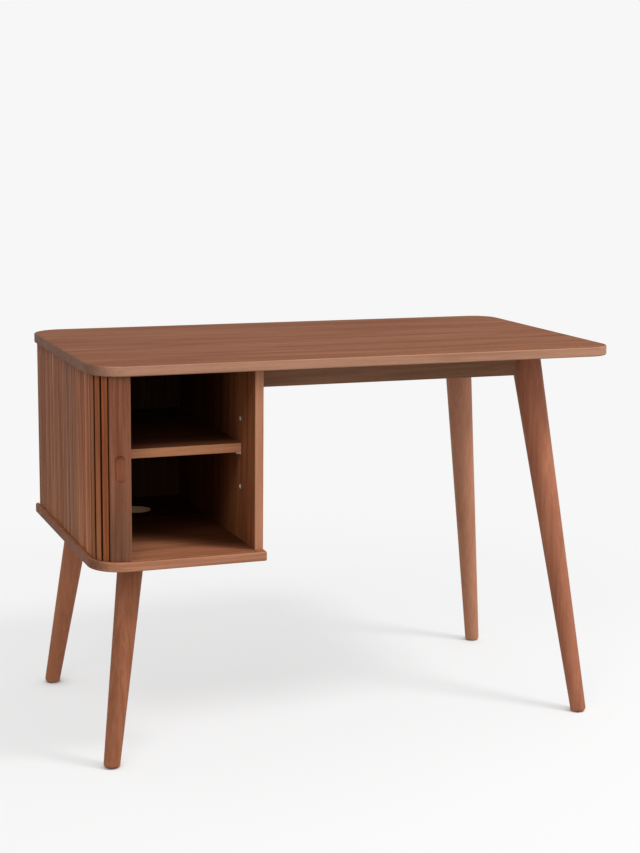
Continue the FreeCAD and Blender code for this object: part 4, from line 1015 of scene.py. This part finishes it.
screws, enter, leave = new_group("wood_screws", "GeometryNodeTree", common + [
    ("Head radius", "NodeSocketFloat", 0.0036),
    ("Head height", "NodeSocketFloat", 0.002),
    ("Shank radius", "NodeSocketFloat", 0.0018),
    ("Length", "NodeSocketFloat", 0.034),
], [("Geometry", "NodeSocketGeometry")])
head = cylinder(screws, HEAD_SIDES, enter["Head radius"], enter["Head height"], 0.0)
arm = math(screws, "MULTIPLY", enter["Head radius"], CROSS_LENGTH)
thin = math(screws, "MULTIPLY", enter["Head radius"], CROSS_WIDTH)
arms = [add(screws, "GeometryNodeMeshCube", {"Size": vector(screws, *size, enter["Head height"])}).outputs[0]
        for size in ((arm, thin), (thin, arm))]
shank = add(screws, "GeometryNodeMeshCone", {
    "Vertices": SHANK_SIDES, "Radius Bottom": enter["Shank radius"],
    "Radius Top": math(screws, "MULTIPLY", enter["Shank radius"], TIP),
    "Depth": math(screws, "SUBTRACT", enter["Length"], enter["Head height"])}).outputs[0]
on_spots(screws, enter, leave, [less(screws, head, *arms),
                                moved(screws, shank, vector(screws, z=enter["Head height"]))])
print("screw tree:", len(screws.nodes), "nodes")

# %% Tree: sleeves
RIM_HEIGHT = 0.0005
TUBE_SIDES, RING_SIDES, RIM_SIDES = 20, 24, 10
CORE_START, CORE_SHARE = -0.001, 1.2

sleeves, enter, leave = new_group("pin_sleeves", "GeometryNodeTree", common + [
    ("Bore", "NodeSocketFloat", 0.0025),
    ("Tube", "NodeSocketFloat", 0.0032),
    ("Rim", "NodeSocketFloat", 0.0045),
    ("Rim height", "NodeSocketFloat", RIM_HEIGHT),
    ("Length", "NodeSocketFloat", 0.010),
], [("Geometry", "NodeSocketGeometry")])
core_length = math(sleeves, "MULTIPLY", enter["Length"], CORE_SHARE)
core = cylinder(sleeves, TUBE_SIDES, enter["Bore"], core_length, CORE_START)
tube = less(sleeves, cylinder(sleeves, TUBE_SIDES, enter["Tube"], enter["Length"], 0.0), core)
ring_radius = math(sleeves, "MULTIPLY", math(sleeves, "ADD", enter["Bore"], enter["Rim"]), 0.5)
ring_half = math(sleeves, "MULTIPLY", math(sleeves, "SUBTRACT", enter["Rim"], enter["Bore"]), 0.5)
ring_path, ring_section = (
    add(sleeves, "GeometryNodeCurvePrimitiveCircle", {"Resolution": sides, "Radius": radius}).outputs[0]
    for sides, radius in ((RING_SIDES, ring_radius), (RIM_SIDES, ring_half)))
ring = add(sleeves, "GeometryNodeCurveToMesh", {"Curve": ring_path, "Profile Curve": ring_section})
flat = vector(sleeves, 1.0, 1.0, math(sleeves, "DIVIDE", enter["Rim height"], ring_half))
rim = add(sleeves, "GeometryNodeTransform", {"Geometry": ring.outputs[0], "Scale": flat}).outputs[0]
on_spots(sleeves, enter, leave, [tube, rim])
print("sleeve tree:", len(sleeves.nodes), "nodes")

# %% [markdown]
# ## Where each fastener goes
# Places typed by hand would be wrong as soon as a board moved. The plain solids already stand in
# the right places, so they are measured. A fastener lies along the longest side of its box, and the
# end with its widest corner is its head or its rim, which tells the direction that it is driven in.

# %% Measure the fasteners
SAME_PLACE = 1e-6


def separate_solids(node_name):
    """The corners of each separate solid in a node of the frame."""
    shell = bmesh.new()
    shell.from_mesh(frame["nodes"][node_name].data)
    bmesh.ops.remove_doubles(shell, verts=shell.verts, dist=SAME_PLACE)
    waiting = dict.fromkeys(shell.verts)
    solids = []
    while waiting:
        reached = [next(iter(waiting))]
        del waiting[reached[0]]
        for corner in reached:
            for edge in corner.link_edges:
                neighbour = edge.other_vert(corner)
                if neighbour in waiting:
                    del waiting[neighbour]
                    reached.append(neighbour)
        solids.append([corner.co.copy() for corner in reached])
    shell.free()
    return solids


def driven(corners, proud):
    """Where a fastener meets the face it sits in, the direction that it's driven in, and its length."""
    low, high = (Vector([pick(values) for values in zip(*corners)]) for pick in (min, max))
    middle, size = (low + high) / 2, high - low
    along = max(range(3), key=lambda axis: size[axis])

    def girth(corner):
        return sum((corner[axis] - middle[axis]) ** 2 for axis in range(3) if axis != along)

    aim = Vector((0, 0, 0))
    aim[along] = 1 if max(corners, key=girth)[along] < middle[along] else -1
    return middle - aim * (size[along] / 2 - proud), aim, size[along] - proud


print("top screws found:", len(separate_solids("top_screws")))

# %% Screws and sleeves in place
SMALL = {"Head_radius": 0.0025, "Head_height": 0.00125, "Shank_radius": 0.00135}

metals = {"zinc_steel": steel, "nickel": nickel}
# node: its tree, its metal, how far it stands proud of the wood, its own sizes
hardware = {
    "top_screws": (screws, "zinc_steel", 0.0, {}),
    "base_screws": (screws, "zinc_steel", 0.0, {}),
    "back_screws": (screws, "zinc_steel", 0.0, SMALL),
    "bracket_screws": (screws, "zinc_steel", 0.0, SMALL),
    "pin_sleeves": (sleeves, "nickel", RIM_HEIGHT, {}),
}
for node_name, (shape, metal, proud, sizes) in hardware.items():
    places = [driven(corners, proud) for corners in separate_solids(node_name)]
    length = places[0][-1]
    piece = grown("round_" + node_name, shape, metals[metal], spots=[place[:2] for place in places],
                  Length=length, **sizes)
    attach(piece, "desk")
    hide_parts(node_name)
    print(piece.name, len(places), "of them,", len(piece.data.polygons), "faces")

# %% [markdown]
# ## Finishes onto the solids
# Every solid that wasn't made again keeps its shape and gets its finish in each of its material
# slots.

# %% Give each solid its finish
for name, finish in finishes.items():
    for slot in frame["nodes"][name].material_slots:
        slot.material = finish
made_again = set(hardware) | {entry[0] for entry in rows}
print("solids without a finish:", sorted(set(frame["nodes"]) - set(finishes) - made_again))
